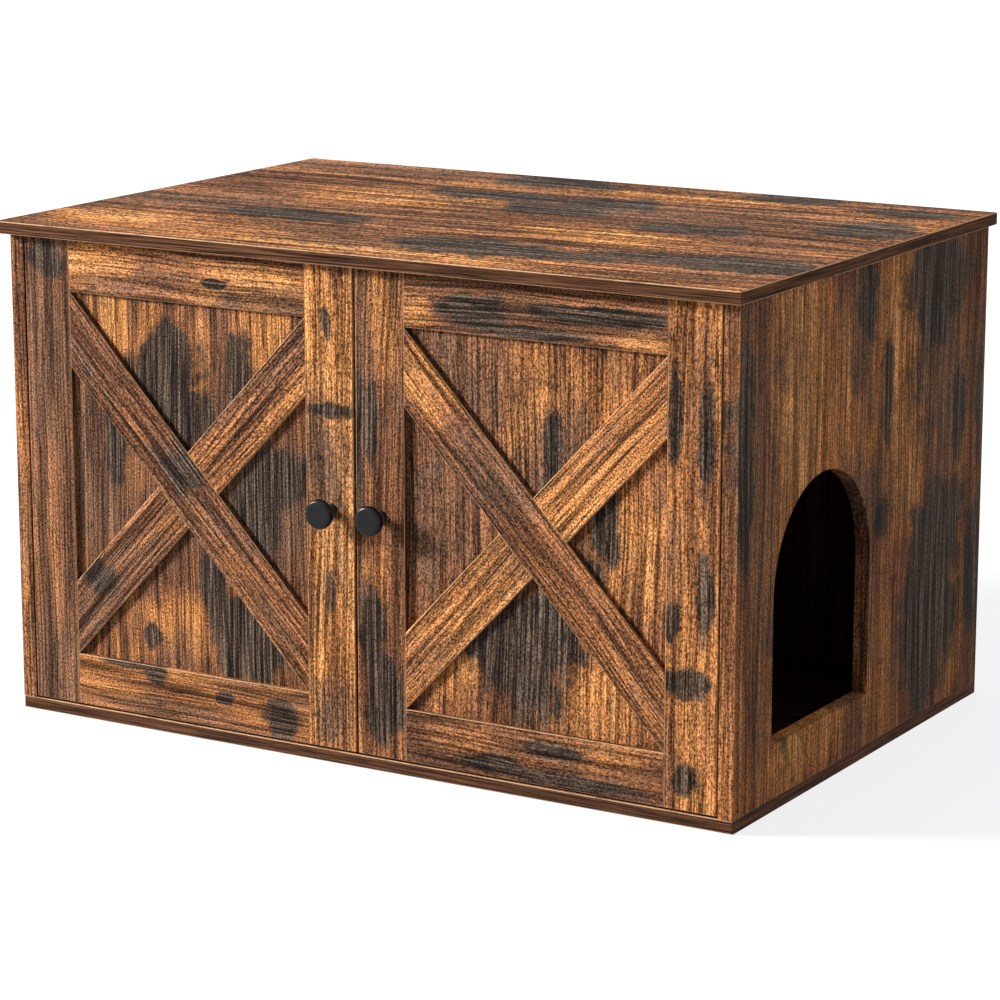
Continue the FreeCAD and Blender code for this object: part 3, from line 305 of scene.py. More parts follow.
GRAIN = grain_group()
FACES = {"front": ("X", "Z"), "top": ("X", "Y"), "side": ("Y", "Z")}
UPRIGHT = (0, 1)
LEVEL = (1, 0)
SEED_SHIFTS = (1.37, 0.71, 0.29)
PRINT_DEPTH = 0.8 * MM

# Patches: how ragged their outlines are, where they fade, and what a full patch adds.
RAGGED = 2.6
RAGGED_SCALE = 26.0
PATCH_FADE = (1.95, 0.6)
DARK_GAIN = 1.1
WARM_GAIN = 0.3
DULL_GAIN = 0.6

# The narrow sides of boards, and the pale line on their eased edges: partly the pale cut edge of the
# print, partly a painted highlight.
ARRIS_WEAR_AND_HIGHLIGHT = colour(206, 166, 126)
ARRIS_SCALE = 60.0
ARRIS_RANGE = (0.3, 0.55, 0.35, 0.9)
EASED_NORMAL = (0.3, 0.95)
EDGE_DARK = colour(40, 24, 18)
EDGE_LIGHT = colour(134, 90, 62)
EDGE_SCALES = (9.0, 640.0)
UPRIGHT_NORMAL = 0.3


def grain_coordinates(graph, point, along, beside, seed, zoom):
    """Texture coordinates that start with the way along the grain, shifted by the seed."""
    directions = (along, beside, along.cross(beside))
    scales = (math.sqrt(zoom), zoom, zoom)
    parts = []
    for direction, scale, shift in zip(directions, scales, SEED_SHIFTS):
        parts.append(graph.math("ADD", graph.dot(point, tuple(direction * scale)), seed * shift))
    return graph.combine(*parts)


def ragged_drift(graph, point):
    """A noise that runs about zero on both axes of the face."""
    inputs = {"Vector": point, "Scale": RAGGED_SCALE, "Detail": 6.0, "Roughness": 0.62}
    rough = graph.node("TexNoise", inputs).outputs[1]
    return graph.mapped(rough, (RAGGED, RAGGED, 0), (-RAGGED / 2, -RAGGED / 2, 0))


def patch_strength(graph, point, drift, patches):
    """How strongly any of the listed patches covers a point of the face.

    A patch is its centre and its half size, across and up, in millimetres. The
    drift moves the outline by a share of the patch's size, which makes it ragged.
    """
    total = 0.0
    for across, up, half_across, half_up in patches:
        scale = (1 / (half_across * MM), 1 / (half_up * MM), 0)
        shift = (-across / half_across, -up / half_up, 0)
        even = graph.mapped(point, scale, shift)
        place = graph.node("VectorMath", {0: even, 1: drift}).outputs[0]
        total = graph.math("MAXIMUM", total, graph.smooth(graph.length(place), *PATCH_FADE))
    return total


def arris_wear_and_highlight(graph, point, axis, shown):
    """The colour with a pale broken line on the eased edges of a face across the axis: a painted
    highlight, partly also the pale cut edge of the print.
    """
    normal = graph.node("NewGeometry", {}).outputs["True Normal"]
    turned = graph.node("VectorTransform", {0: normal}, vector_type="NORMAL",
                        convert_from="WORLD", convert_to="OBJECT").outputs[0]
    part = graph.math("ABSOLUTE", graph.separate(turned)["XYZ".index(axis)])
    least, most = EASED_NORMAL
    eased = graph.math("MULTIPLY", graph.math("GREATER_THAN", part, least),
                       graph.math("LESS_THAN", part, most))
    broken = graph.smooth(graph.noise(point, ARRIS_SCALE), *ARRIS_RANGE)
    return graph.blend(graph.math("MULTIPLY", eased, broken), shown, ARRIS_WEAR_AND_HIGHLIGHT)


def edge_band(graph, point, shown):
    """The colour with fine brown lines along the board on its narrow sides."""
    x, y, z = graph.separate(point)
    along, beside = EDGE_SCALES
    lengthwise = graph.math("MULTIPLY", graph.math("ADD", x, y), along)
    place = graph.combine(lengthwise, graph.math("MULTIPLY", z, beside), 0.0)
    lines = graph.noise(place, detail=3.0, roughness=0.7)
    band = graph.ramp(lines, [(0.42, EDGE_DARK), (0.72, EDGE_LIGHT)])
    normal = graph.separate(graph.node("NewGeometry", {}).outputs["True Normal"])[2]
    upright = graph.math("LESS_THAN", graph.math("ABSOLUTE", normal), UPRIGHT_NORMAL)
    return graph.blend(upright, shown, band)


def laminate(name, face, grain, seed, warm=0.0, dull=0.0, dark=0.0, contrast=1.25, relief=0.3,
             zoom=0.85, arris=None, banded=False, gloss=0.05, dark_patches=(), warm_patches=(),
             dull_patches=()):
    """Rustic wood print: grain runs along the given direction of the face."""
    material, graph, shader = new_material(name)
    point = object_point(graph)
    across, up = (Vector([axis == wanted for axis in "XYZ"]) for wanted in FACES[face])
    along = across * grain[0] + up * grain[1]
    beside = across * -grain[1] + up * grain[0]
    drift = ragged_drift(graph, point)
    spot = graph.combine(graph.dot(point, tuple(across)), graph.dot(point, tuple(up)), 0.0)

    def total(level, gain, patches):
        share = patch_strength(graph, spot, drift, patches)
        return graph.math("MULTIPLY_ADD", share, gain, level)

    group = graph.nodes.new("ShaderNodeGroup")
    group.node_tree = GRAIN
    values = {"Grain": grain_coordinates(graph, point, along, beside, seed, zoom),
              "Dark": total(dark, DARK_GAIN, dark_patches),
              "Warm": total(warm, WARM_GAIN, warm_patches),
              "Dull": total(dull, DULL_GAIN, dull_patches),
              "Contrast": contrast}
    for key, value in values.items():
        graph.give(group.inputs[key], value)
    shown = group.outputs["Colour"]
    if banded:
        shown = edge_band(graph, point, shown)
    # A pale line on the eased edges: painted highlight, with some pale cut edge of the print.
    if arris:
        shown = arris_wear_and_highlight(graph, point, arris, shown)
    graph.give(shader.inputs["Base Color"], shown)
    graph.give(shader.inputs["Roughness"], group.outputs["Roughness"])
    shader.inputs["Specular IOR Level"].default_value = gloss
    bump = graph.node("Bump", {"Height": group.outputs["Height"], "Strength": relief,
                               "Distance": PRINT_DEPTH})
    graph.give(shader.inputs["Normal"], bump.outputs[0])
    return material


# ---------------------------------------------------------------- other materials

FINE_TIMES = 14
SKIN_DEPTH = 0.3 * MM
MIDDLE_NOISE = (0.3, 0.7)
FLECK_SCALES = (60.0, 900.0)
BEECH_TONES = [(0.3, colour(190, 146, 100)), (0.6, colour(222, 186, 140))]


def plain(name, shade, metallic, roughness, spread, scale, relief=0.1, variation=0.12,
          gloss=0.5):
    """Metal or plastic with a fine surface and small changes of colour and gloss."""
    material, graph, shader = new_material(name)
    point = object_point(graph)
    broad = graph.noise(point, scale, detail=3.0)
    fine = graph.noise(point, scale * FINE_TIMES, detail=2.0)
    gain = graph.linear(broad, *MIDDLE_NOISE, 1 - variation, 1 + variation)
    graph.give(shader.inputs["Base Color"], graph.scaled(shade[:3], gain))
    shader.inputs["Metallic"].default_value = metallic
    shader.inputs["Specular IOR Level"].default_value = gloss
    graph.give(shader.inputs["Roughness"],
               graph.linear(broad, *MIDDLE_NOISE, roughness - spread, roughness + spread))
    bump = graph.node("Bump", {"Height": fine, "Strength": relief, "Distance": SKIN_DEPTH})
    graph.give(shader.inputs["Normal"], bump.outputs[0])
    return material


def beech():
    """Turned beech of the dowels, with short darker flecks along the grain."""
    material, graph, shader = new_material("beech_dowel")
    x, y, z = graph.separate(object_point(graph))
    flecks = graph.noise(graph.stretched(z, x, y, *FLECK_SCALES), detail=2.0)
    graph.give(shader.inputs["Base Color"], graph.ramp(flecks, BEECH_TONES))
    shader.inputs["Roughness"].default_value = 0.6
    bump = graph.node("Bump", {"Height": flecks, "Strength": 0.3, "Distance": SKIN_DEPTH})
    graph.give(shader.inputs["Normal"], bump.outputs[0])
    return material


# ---------------------------------------------------------------- objects and meshes

def dress(thing, material):
    """Give an object its only material."""
    thing.data.materials.clear()
    thing.data.materials.append(material)


def add_object(name, data):
    """A new object in the scene."""
    made = bpy.data.objects.new(name, data)
    bpy.context.scene.collection.objects.link(made)
    return made


def place_piece(name, mesh, node_name):
    """Show a mesh in a CAD node's place, on the same body."""
    piece = add_object(name, mesh)
    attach(piece, nodes[node_name]["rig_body"])
    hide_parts(node_name)
    return piece


def node_build(name):
    """The mesh of a CAD node, open for changes, with its corners joined."""
    build = bmesh.new()
    build.from_mesh(nodes[name].data)
    bmesh.ops.remove_doubles(build, verts=build.verts, dist=SAME_POINT)
    return build


def finished(build, name):
    """The mesh that a build has become."""
    mesh = bpy.data.meshes.new(name)
    build.to_mesh(mesh)
    build.free()
    return mesh


def smoothed(mesh):
    """The mesh, shaded smooth up to its sharp edges."""
    mesh.shade_smooth()
    mesh.set_sharp_from_angle(angle=SMOOTH_ANGLE)
    return mesh


# ---------------------------------------------------------------- boards

EASE = 0.6 * MM
EASED_ANGLE = math.radians(50)
FLAT_ANGLE = math.radians(1)
EASED_BOARDS = ("bottom_board", "right_side_panel", "left_side_panel", "divider_panel")

# Looks of the boards, with the dark, warm and dull patches where the print shows them.
BOARDS = {
    "top_board": dict(
        name="top_board_print", face="top", grain=LEVEL, seed=3.0, warm=0.02, dull=0.04, zoom=0.4,
        arris="Z", banded=True, contrast=1.6, gloss=0.03,
        dark_patches=[(57, -180, 70, 34), (61, 124, 46, 30), (341, -145, 60, 34), (192, 250, 40, 22),
                      (28, 60, 70, 26), (280, -150, 60, 26), (-85, 119, 60, 22), (343, 99, 34, 40),
                      (-171, -95, 70, 26), (-60, 235, 60, 24), (200, 20, 50, 24), (330, 215, 44, 20),
                      (170, -185, 50, 16)],
        warm_patches=[(-150, 60, 90, 50), (-330, -190, 60, 44), (150, -60, 70, 30),
                      (-40, -240, 180, 14), (100, 200, 80, 24)],
        dull_patches=[(-300, -60, 90, 40), (-200, 230, 150, 30)]),
    "bottom_board": dict(
        name="bottom_board_print", face="front", grain=LEVEL, seed=5.0, warm=-0.12, dull=0.1,
        arris="Z", banded=True),
    "right_side_panel": dict(
        name="right_side_print", face="side", grain=UPRIGHT, seed=8.0, warm=-0.01, contrast=1.1,
        arris="X",
        dark_patches=[(-5, 440, 18, 40), (155, 440, 60, 36), (140, 400, 26, 30), (160, 185, 44, 50),
                      (262, 300, 12, 50), (205, 300, 12, 34), (-248, 350, 10, 90), (40, 345, 8, 40),
                      (30, 225, 14, 20), (150, 110, 60, 60), (-165, 150, 12, 70), (250, 130, 20, 60)],
        warm_patches=[(-130, 370, 50, 110), (70, 400, 40, 70), (-60, 330, 60, 70),
                      (100, 300, 50, 70), (-110, 60, 60, 40), (210, 90, 14, 60)],
        dull_patches=[(-215, 300, 30, 160), (170, 330, 60, 60), (20, 250, 60, 30), (-12, 390, 22, 60)]),
    "left_side_panel": dict(
        name="left_side_print", face="side", grain=UPRIGHT, seed=11.0, arris="X",
        dark_patches=[(-150, 400, 50, 44), (-120, 330, 16, 60), (90, 250, 20, 90), (118, 190, 30, 34),
                      (215, 110, 34, 70), (-60, 90, 60, 20), (20, 440, 24, 30)],
        warm_patches=[(-160, 200, 60, 120), (60, 400, 60, 70)],
        dull_patches=[(170, 330, 60, 100), (-20, 200, 50, 80)]),
    "divider_panel": dict(
        name="divider_print", face="side", grain=UPRIGHT, seed=14.0, warm=-0.05, arris="X"),
    "back_panel": dict(
        name="back_print", face="front", grain=UPRIGHT, seed=17.0, warm=-0.1, dull=0.2,
        contrast=0.8, relief=0.15),
}


def eased_board(name):
    """A board with its sharp edges taken off, shown in place of the CAD node."""
    build = node_build(name)
    bmesh.ops.dissolve_limit(build, angle_limit=FLAT_ANGLE, verts=build.verts, edges=build.edges)
    piece = place_piece(name + "_eased", finished(build, name + "_eased"), name)
    bevel = piece.modifiers.new("ease", "BEVEL")
    bevel.width = EASE
    bevel.segments = 1
    bevel.limit_method = "ANGLE"
    bevel.angle_limit = EASED_ANGLE
    return piece


def dress_boards():
    """Top, bottom, sides, divider and back."""
    for name, look in BOARDS.items():
        board = eased_board(name) if name in EASED_BOARDS else nodes[name]
        dress(board, laminate(**look))


# ---------------------------------------------------------------- doors

# How much less the grain of a brace rises than the long brace's box is tall. It is a
# little less than the height of that brace's upright end.
GRAIN_DROP = 66 * MM
FIRST_SEED = 20.0
SEED_STEP = 2.3


def brace_direction(side_rise):
    """The grain direction of a brace, about along the long one or as steep the other way."""
    low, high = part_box("left_long_brace")
    return Vector((high.x - low.x, side_rise * (high.z - low.z - GRAIN_DROP))).normalized()


FALLING = brace_direction(-1)
RISING = brace_direction(1)

# Looks of the doors' pieces, with the patches where the print shows them.
LEFT_DOOR = {
    "left_door_panel": dict(
        grain=UPRIGHT, warm=-0.04,
        dark_patches=[(-215, 352, 36, 34), (-200, 318, 26, 26), (-133, 358, 16, 30),
                      (-168, 310, 9, 22), (-92, 262, 36, 26), (-110, 225, 22, 40),
                      (-274, 283, 10, 40), (-162, 150, 12, 44), (-118, 98, 36, 30),
                      (-140, 120, 26, 20), (-236, 92, 9, 9)],
        warm_patches=[(-260, 395, 40, 30), (-172, 350, 12, 44), (-110, 385, 30, 34),
                      (-150, 195, 16, 26), (-200, 110, 40, 26), (-262, 260, 14, 26)],
        dull_patches=[(-300, 260, 40, 60), (-90, 240, 40, 60), (-235, 200, 60, 40)]),
    "left_hinge_stile": dict(grain=UPRIGHT, warm=-0.12, dull=0.38, dark=-0.1,
                             dark_patches=[(-352, 455, 20, 18)]),
    "left_lock_stile": dict(
        grain=UPRIGHT, warm=0.2, dark=-0.08,
        dark_patches=[(-31, 415, 4, 12), (-27, 165, 5, 18), (-28, 335, 24, 5)],
        dull_patches=[(-28, 290, 30, 34), (-20, 50, 24, 24)]),
    "left_top_rail": dict(
        grain=LEVEL, warm=-0.04, dark_patches=[(-155, 442, 10, 4)],
        warm_patches=[(-300, 455, 40, 16), (-150, 432, 34, 12), (-100, 455, 40, 14)],
        dull_patches=[(-240, 435, 60, 14), (-100, 430, 50, 12)]),
    "left_bottom_rail": dict(
        grain=LEVEL, warm=0.12,
        dark_patches=[(-232, 55, 12, 12), (-255, 62, 26, 3), (-150, 44, 9, 5), (-84, 34, 16, 16)],
        dull_patches=[(-250, 25, 50, 8)]),
    "left_long_brace": dict(
        grain=FALLING, warm=-0.08, dull=0.14, contrast=1.4, relief=0.55,
        dark_patches=[(-190, 265, 24, 24)]),
    "left_upper_brace": dict(grain=RISING, warm=0.03, dull=0.06, contrast=1.55, relief=0.6),
    "left_lower_brace": dict(grain=RISING, warm=-0.05, dull=0.16, contrast=1.55, relief=0.6,
                             dark_patches=[(-290, 140, 20, 16)]),
}
RIGHT_DOOR = {
    "right_door_panel": dict(
        grain=UPRIGHT, warm=-0.05,
        dark_patches=[(165, 155, 60, 24), (178, 112, 34, 34), (130, 180, 20, 16),
                      (245, 205, 12, 26), (262, 262, 10, 30), (208, 290, 9, 50)],
        warm_patches=[(215, 350, 40, 50), (250, 95, 46, 34), (110, 110, 20, 20), (285, 235, 22, 40)],
        dull_patches=[(110, 360, 50, 60), (90, 250, 30, 60), (200, 300, 30, 50)]),
    "right_hinge_stile": dict(
        grain=UPRIGHT, warm=0.2,
        dark_patches=[(331, 372, 5, 36), (361, 360, 7, 46), (362, 215, 8, 26), (330, 185, 6, 16),
                      (345, 130, 20, 10), (340, 42, 14, 12)]),
    "right_lock_stile": dict(
        grain=UPRIGHT, warm=-0.02, dull=0.12,
        dark_patches=[(18, 330, 5, 30), (18, 130, 12, 34), (30, 70, 16, 30), (4, 300, 4, 60)],
        warm_patches=[(28, 415, 12, 40), (20, 180, 10, 34)],
        dull_patches=[(10, 380, 12, 60)]),
    "right_top_rail": dict(
        grain=LEVEL, warm=-0.05, dull=0.22,
        dark_patches=[(130, 442, 30, 12), (250, 448, 60, 6), (190, 428, 40, 4)],
        warm_patches=[(70, 436, 22, 10), (300, 425, 20, 10)]),
    "right_bottom_rail": dict(
        grain=LEVEL, warm=-0.14, dull=0.24,
        dark_patches=[(210, 48, 22, 6), (150, 25, 30, 6), (220, 22, 60, 5)],
        warm_patches=[(110, 45, 30, 10), (270, 50, 24, 8)]),
    "right_long_brace": dict(
        grain=FALLING, warm=0.0, dull=0.08, contrast=1.4, relief=0.55,
        warm_patches=[(75, 380, 30, 30)], dull_patches=[(150, 300, 40, 40)]),
    "right_upper_brace": dict(grain=RISING, warm=0.12, dull=0.03, contrast=1.6, relief=0.6),
    "right_lower_brace": dict(grain=RISING, warm=0.12, dull=0.0, contrast=1.4, relief=0.5),
}


def dress_doors():
    """Panels, frames and braces of both doors, each with the tones that it shows."""
    for index, (name, look) in enumerate({**LEFT_DOOR, **RIGHT_DOOR}.items()):
        edge = None if name.endswith("door_panel") else "Y"
        seed = FIRST_SEED + SEED_STEP * index
        dress(nodes[name], laminate(name + "_print", "front", seed=seed, arris=edge, **look))


# ---------------------------------------------------------------- hardware

HARDWARE = {
    "zinc_steel": dict(shade=colour(196, 198, 200), metallic=1.0, roughness=0.32, spread=0.07,
                       scale=90.0),
    "black_metal": dict(shade=colour(14, 14, 15), metallic=0.0, roughness=0.28, spread=0.03,
                        scale=160.0, gloss=0.22),
    "magnet_steel": dict(shade=colour(96, 98, 100), metallic=1.0, roughness=0.42, spread=0.08,
                         scale=120.0),
    "white_plastic": dict(shade=colour(226, 225, 220), metallic=0.0, roughness=0.45, spread=0.05,
                          scale=70.0, variation=0.03),
}


def hardware_material(name):
    """The name of the material that a node of the hardware shows."""
    if name.endswith("_knob"):
        return "black_metal"
    if name.endswith("catch_housing"):
        return "white_plastic"
    if name == "catch_magnets":
        return "magnet_steel"
    if name == "dowels":
        return "beech_dowel"
    return "zinc_steel"


def dress_hardware():
    """Metal, plastic and dowels: every node that shows no print of its own."""
    made = {name: plain(name, **look) for name, look in HARDWARE.items()}
    made["beech_dowel"] = beech()
    for name in nodes:
        shown = nodes[name].data.materials
        if shown and "print" in shown[0].name:
            continue
        dress(nodes[name], made[hardware_material(name)])
    return made


# ---------------------------------------------------------------- studio

PHOTO_WIDTH = 1000
SENSOR = 36.0
FOCAL_PIXELS = 3524.2
CAMERA_YAW = math.radians(30.899)
CAMERA_PITCH = math.radians(12.884)
CAMERA_PLACE = Vector((1.7314, -2.8969, 0.9759))
CAMERA_REACH = 60.0

# Lamps by place, target and side length in metres, and power in watts.
LAMPS = {
    "key": dict(place=(-5.6, -3.5, 2.9), target=(0, 0, 0.2), size=1.4, power=1010),
    "top": dict(place=(0.2, 0.4, 3.4), target=(0, 0, 0.3), size=2.4, power=36),
    "fill": dict(place=(3.8, 0.1, 1.6), target=(0.3, 0, 0.2), size=2.0, power=27),
}
ROOM_LIGHT = 0.15
ROOM_SEEN = 1.0

FLOOR_HALF = 12.0
FLOOR_DROP = 0.5 * MM
FLOOR_LIT = (0.5, 0.5, 0.5, 1)
FLOOR_SOFT = (0.23, 0.23, 0.235, 1)

# The distances in metres between which the floor's glow grows, and its strength at both.
FLOOR_GLOW = (0.8, 1.8, 0.79, 1.0)


def aim(thing, target):
    """Turn a lamp or camera to look at a point."""
    thing.rotation_euler = (target - thing.location).to_track_quat("-Z", "Y").to_euler()


def make_camera():
    """The camera at the photograph's place."""
    data = bpy.data.cameras.new("camera")
    data.sensor_fit = "HORIZONTAL"
    data.sensor_width = SENSOR
    data.lens = FOCAL_PIXELS * SENSOR / PHOTO_WIDTH
    data.clip_end = CAMERA_REACH
    camera = add_object("camera", data)
    camera.location = CAMERA_PLACE
    forward = Vector((-math.sin(CAMERA_YAW) * math.cos(CAMERA_PITCH),
                      math.cos(CAMERA_YAW) * math.cos(CAMERA_PITCH), -math.sin(CAMERA_PITCH)))
    aim(camera, CAMERA_PLACE + forward)
    bpy.context.scene.camera = camera


def area_lamp(name, place, target, size, power):
    """A soft square lamp."""
    data = bpy.data.lights.new(name, "AREA")
    data.size = size
    data.energy = power
    lamp = add_object(name, data)
    lamp.location = place
    aim(lamp, Vector(target))


def seen_share(graph):
    """One for rays that the viewer, a mirror or clear glass sees."""
    path = graph.node("LightPath", {})
    share = graph.math("ADD", path.outputs["Is Camera Ray"], path.outputs["Is Glossy Ray"])
    return graph.math("ADD", share, path.outputs["Is Transmission Ray"], clamp=True)


def make_world():
    """Plain light from all round, and white where the viewer sees past the floor."""
    world = bpy.data.worlds.new("studio")
    bpy.context.scene.world = world
    world.use_nodes = True
    graph = Graph(world.node_tree)
    background = graph.nodes["Background"]
    background.inputs["Color"].default_value = WHITE
    strength = graph.linear(seen_share(graph), 0, 1, ROOM_LIGHT, ROOM_SEEN)
    graph.give(background.inputs["Strength"], strength)


def floor_paint():
    """Pale paint that is near white to the viewer, and white farther out."""
    material, graph, shader = new_material("floor_paint")
    graph.nodes.remove(shader)
    lit = graph.node("BsdfDiffuse", {"Color": FLOOR_LIT}).outputs[0]
    soft = graph.node("BsdfDiffuse", {"Color": FLOOR_SOFT}).outputs[0]
    strength = graph.smooth(graph.length(object_point(graph)), *FLOOR_GLOW)
    glow = graph.node("Emission", {"Color": WHITE, "Strength": strength}).outputs[0]
    seen = graph.node("AddShader", {0: soft, 1: glow}).outputs[0]
    mixed = graph.node("MixShader", {0: seen_share(graph), 1: lit, 2: seen}).outputs[0]
    graph.give(graph.nodes["Material Output"].inputs["Surface"], mixed)
    return material


def make_floor():
    """Pale floor just under the cabinet, which keeps its shadow."""
    mesh = bpy.data.meshes.new("floor")
    corners = [(x * FLOOR_HALF, y * FLOOR_HALF, 0) for x, y in ((-1, -1), (1, -1), (1, 1), (-1, 1))]
    mesh.from_pydata(corners, [], [(0, 1, 2, 3)])
    floor = add_object("floor", mesh)
    floor.location.z = -FLOOR_DROP
    mesh.materials.append(floor_paint())


def make_studio():
    """Camera, world, floor and lamps."""
    bpy.context.scene.view_settings.view_transform = "Standard"
    make_camera()
    make_world()
    make_floor()
    for name, lamp in LAMPS.items():
        area_lamp(name, **lamp)


# ---------------------------------------------------------------- knobs

KNOB_SEGMENTS = 96
AXIS_RADIUS = 1e-7


def arc_points(centre, radius, first, last, steps):
    """Points of an arc in a profile, by angles in degrees."""
    points = []
    for step in range(steps + 1):
        angle = math.radians(first + (last - first) * step / steps)
        points.append((centre[0] + radius * math.cos(angle), centre[1] + radius * math.sin(angle)))
    return points


def lathe(name, profile, segments):
    """A turned mesh about +Z from a profile of radii and heights, in metres."""
    build = bmesh.new()
    rings = []
    for radius, height in profile:
        if radius < AXIS_RADIUS:
            rings.append([build.verts.new((0, 0, height))])
            continue
        ring = []
        for step in range(segments):
            angle = 2 * math.pi * step / segments
            ring.append(build.verts.new((radius * math.cos(angle), radius * math.sin(angle), height)))
        rings.append(ring)
    for lower, upper in zip(rings, rings[1:]):
        for step in range(segments):
            after = (step + 1) % segments
            corners = [lower[step % len(lower)], lower[after % len(lower)],
                       upper[after % len(upper)], upper[step % len(upper)]]
            build.faces.new(list(dict.fromkeys(corners)))
    bmesh.ops.recalc_face_normals(build, faces=build.faces)
    return smoothed(finished(build, name))


def knob_profile(radius, reach):
    """Foot, waist, head, rolled rim and a faintly dished face, from radius and length."""
    foot = 7.0 * MM
    foot_edge = 1.2 * MM
    foot_curve = 4.2 * MM
    flare = 0.2 * MM
    waist = 4.4 * MM
    neck = 3.6 * MM
    neck_curve = 4.2 * MM
    head = 7.0 * MM
    lip = 1.2 * MM
    rim = 3.0 * MM
    dish = 0.4 * MM
    half_way_dish = 0.25 * MM
    under_head = reach - head
    profile = [(0, 0), (foot, 0), (foot, foot_edge)]
    profile += arc_points((foot + flare, foot_curve), foot + flare - waist, 258, 180, 8)
    profile += arc_points((waist + neck, under_head - neck_curve), neck, 180, 96, 8)
    profile += [(radius - lip, under_head)]
    profile += arc_points((radius - lip, under_head + lip), lip, -80, 0, 6)
    profile += arc_points((radius - rim, reach - rim), rim, 0, 84, 10)
    profile += [(radius * 0.5, reach - half_way_dish), (0, reach - dish)]
    return profile


def make_knob(side, material):
    """Satin black knob, turned to the size of the CAD knob."""
    low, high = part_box(side + "_knob")
    profile = knob_profile((high.x - low.x) / 2, high.y - low.y)
    mesh = lathe(side + "_knob_turned", profile, KNOB_SEGMENTS)
    centre = (low + high) / 2
    seat = Matrix.Translation((centre.x, high.y, centre.z))
    mesh.transform(seat @ Matrix.Rotation(math.radians(90), 4, "X"))
    dress(place_piece(side + "_knob_turned", mesh, side + "_knob"), material)


# ---------------------------------------------------------------- screws

# The first two are shares of the head's height, the others of its radius.
CROWN = 0.55
CROSS_DEPTH = 0.6
CROSS_OUTER = (0.62, 0.13)
CROSS_INNER = (0.3, 0.06)
HEAD_EDGE = 0.97

# Shares of the shank's radius, but for the tip, of the root, and the start, of the pitch.
PITCH = 0.8
ROOT = 0.8
TIP = 0.3
THREAD_START = 0.6

CROWN_STEPS = 6
SCREW_SEGMENTS = 24
SAME_SIZE_DIGITS = 5


def solids_of(name):
    """The separate solids of a CAD node, each as the list of its points."""
    build = node_build(name)
    solids = []
    for first in build.verts:
        if first.tag:
            continue
        first.tag = True
        waiting = [first]
        points = []
        while waiting:
            vertex = waiting.pop()
            points.append(vertex.co.copy())
            for edge in vertex.link_edges:
                other = edge.other_vert(vertex)
                if not other.tag:
                    other.tag = True
                    waiting.append(other)
        solids.append(points)
    build.free()
    return solids


def screw_measure(points):
    """A CAD screw's seat, direction, shank and head radius, head height and length."""
    low = Vector(min(point[axis] for point in points) for axis in range(3))
    high = Vector(max(point[axis] for point in points) for axis in range(3))
    spans = list(high - low)
    axis = spans.index(max(spans))
    centre = (low + high) / 2

    def reach(point):
        aside = point - centre
        aside[axis] = 0
        return aside.length

    head_radius = max(reach(point) for point in points)
    shank_radius = min(reach(point) for point in points)
    head = [point[axis] for point in points if reach(point) > head_radius * HEAD_EDGE]
    forward = 1 if sum(head) / len(head) < centre[axis] else -1
    seat = centre.copy()
    seat[axis] = max(head) if forward > 0 else min(head)
    direction = Vector((0, 0, 0))
    direction[axis] = forward
    length = (high[axis] - seat[axis]) if forward > 0 else (seat[axis] - low[axis])
    return seat, direction, shank_radius, head_radius, max(head) - min(head), length


def cross_cutter(radius, depth):
    """Two crossed wedges that sink a cross into a screw's head."""
    build = bmesh.new()
    for turn in (0, math.pi / 2):
        corners = []
        for height, (half_long, half_wide) in ((-depth, CROSS_OUTER), (depth, CROSS_INNER)):
            for along, aside in ((-1, -1), (1, -1), (1, 1), (-1, 1)):
                corner = Vector((along * half_long * radius, aside * half_wide * radius, height))
                corners.append(build.verts.new(Matrix.Rotation(turn, 3, "Z") @ corner))
        build.faces.new(corners[3::-1])
        build.faces.new(corners[4:])
        for step in range(4):
            after = (step + 1) % 4
            build.faces.new((corners[step], corners[after], corners[4 + after], corners[4 + step]))
    bmesh.ops.recalc_face_normals(build, faces=build.faces)
    return finished(build, "cross_cutter")


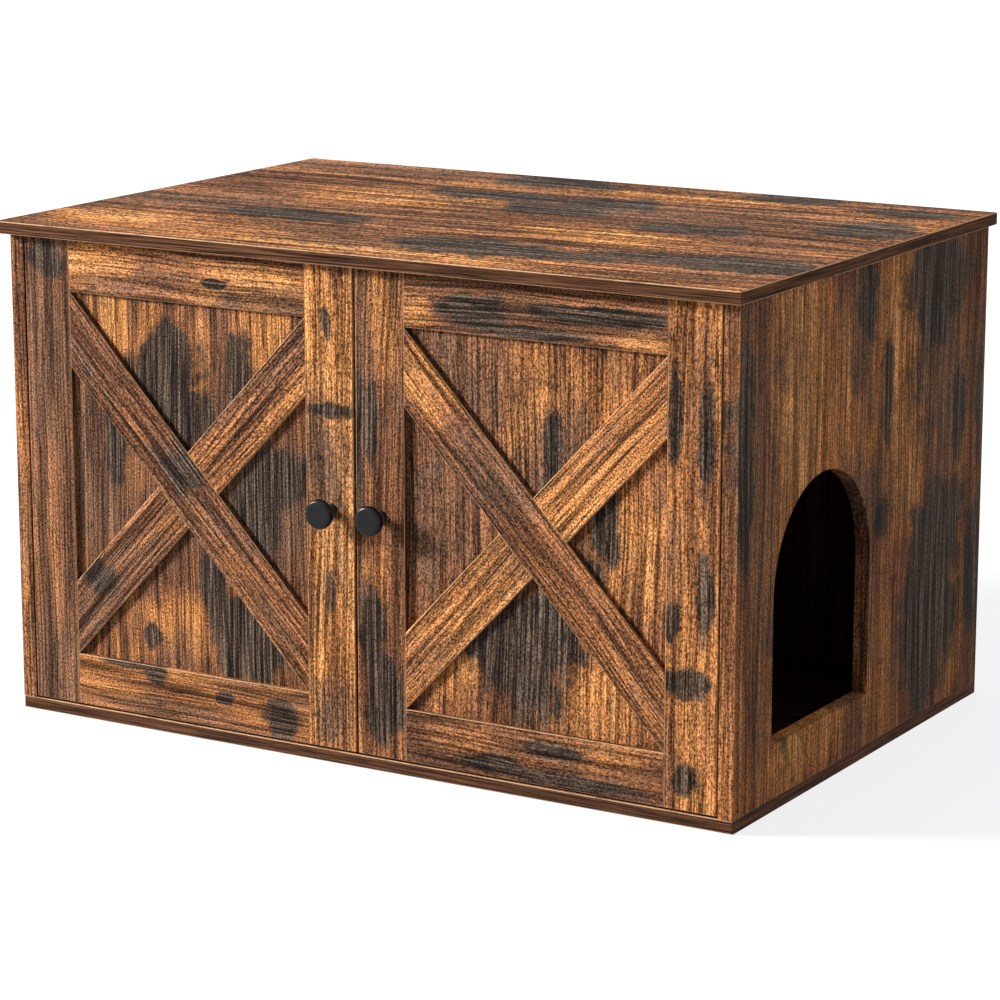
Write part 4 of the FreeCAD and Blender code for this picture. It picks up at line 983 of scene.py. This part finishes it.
def screw_profile(shank_radius, head_radius, head_height, length):
    """Pan head below the origin, and above it a shank with a thread and a blunt tip."""
    crown = head_height * CROWN
    profile = [(0, -head_height)]
    for step in range(1, CROWN_STEPS + 1):
        angle = math.pi / 2 * step / CROWN_STEPS
        profile.append((head_radius * math.sin(angle), -head_height + crown * (1 - math.cos(angle))))
    profile += [(head_radius, 0), (shank_radius, 0)]
    pitch = shank_radius * PITCH
    root = shank_radius * ROOT
    turns = int((length - 2 * pitch) / pitch)
    for step in range(turns):
        height = pitch * (step + THREAD_START)
        profile += [(root, height), (shank_radius, height + pitch / 2)]
    profile += [(root, pitch * (turns + THREAD_START)), (root * TIP, length), (0, length)]
    return profile


def screw_mesh(name, shank_radius, head_radius, head_height, length):
    """Pan-head screw with a sunk cross and a thread, head below the origin."""
    profile = screw_profile(shank_radius, head_radius, head_height, length)
    blank = add_object("screw_blank", lathe("screw_blank", profile, SCREW_SEGMENTS))
    cutter = add_object("cross_cutter", cross_cutter(head_radius, head_height * CROSS_DEPTH))
    cutter.location.z = -head_height
    recess = blank.modifiers.new("recess", "BOOLEAN")
    recess.object = cutter
    recess.solver = "EXACT"
    recess.use_self = True
    evaluated = blank.evaluated_get(bpy.context.evaluated_depsgraph_get())
    mesh = bpy.data.meshes.new_from_object(evaluated)
    mesh.name = name
    for thing in (blank, cutter):
        bpy.data.objects.remove(thing)
    return mesh


def detailed_screws(name, material):
    """All screws of a CAD node with crossed heads and threads."""
    joined = bmesh.new()
    masters = {}
    for points in solids_of(name):
        seat, direction, *measures = screw_measure(points)
        key = tuple(round(measure, SAME_SIZE_DIGITS) for measure in measures)
        if key not in masters:
            masters[key] = screw_mesh(name + "_master", *measures)
        turned = Matrix.Translation(seat) @ direction.to_track_quat("Z", "Y").to_matrix().to_4x4()
        copy = masters[key].copy()
        copy.transform(turned)
        joined.from_mesh(copy)
        bpy.data.meshes.remove(copy)
    mesh = smoothed(finished(joined, name + "_crossed"))
    dress(place_piece(name + "_crossed", mesh, name), material)


# ---------------------------------------------------------------- build the scene

FIXED_SCREWS = ("mounting_plate_screws", "hinge_arm_screws", "catch_screws", "back_panel_screws")

dress_boards()
dress_doors()
materials = dress_hardware()
black = materials["black_metal"]
steel = materials["zinc_steel"]
for side in ("left", "right"):
    make_knob(side, black)
    detailed_screws(side + "_door_screws", steel)
    detailed_screws(side + "_knob_screw", steel)
for fixed in FIXED_SCREWS:
    detailed_screws(fixed, steel)
make_studio()
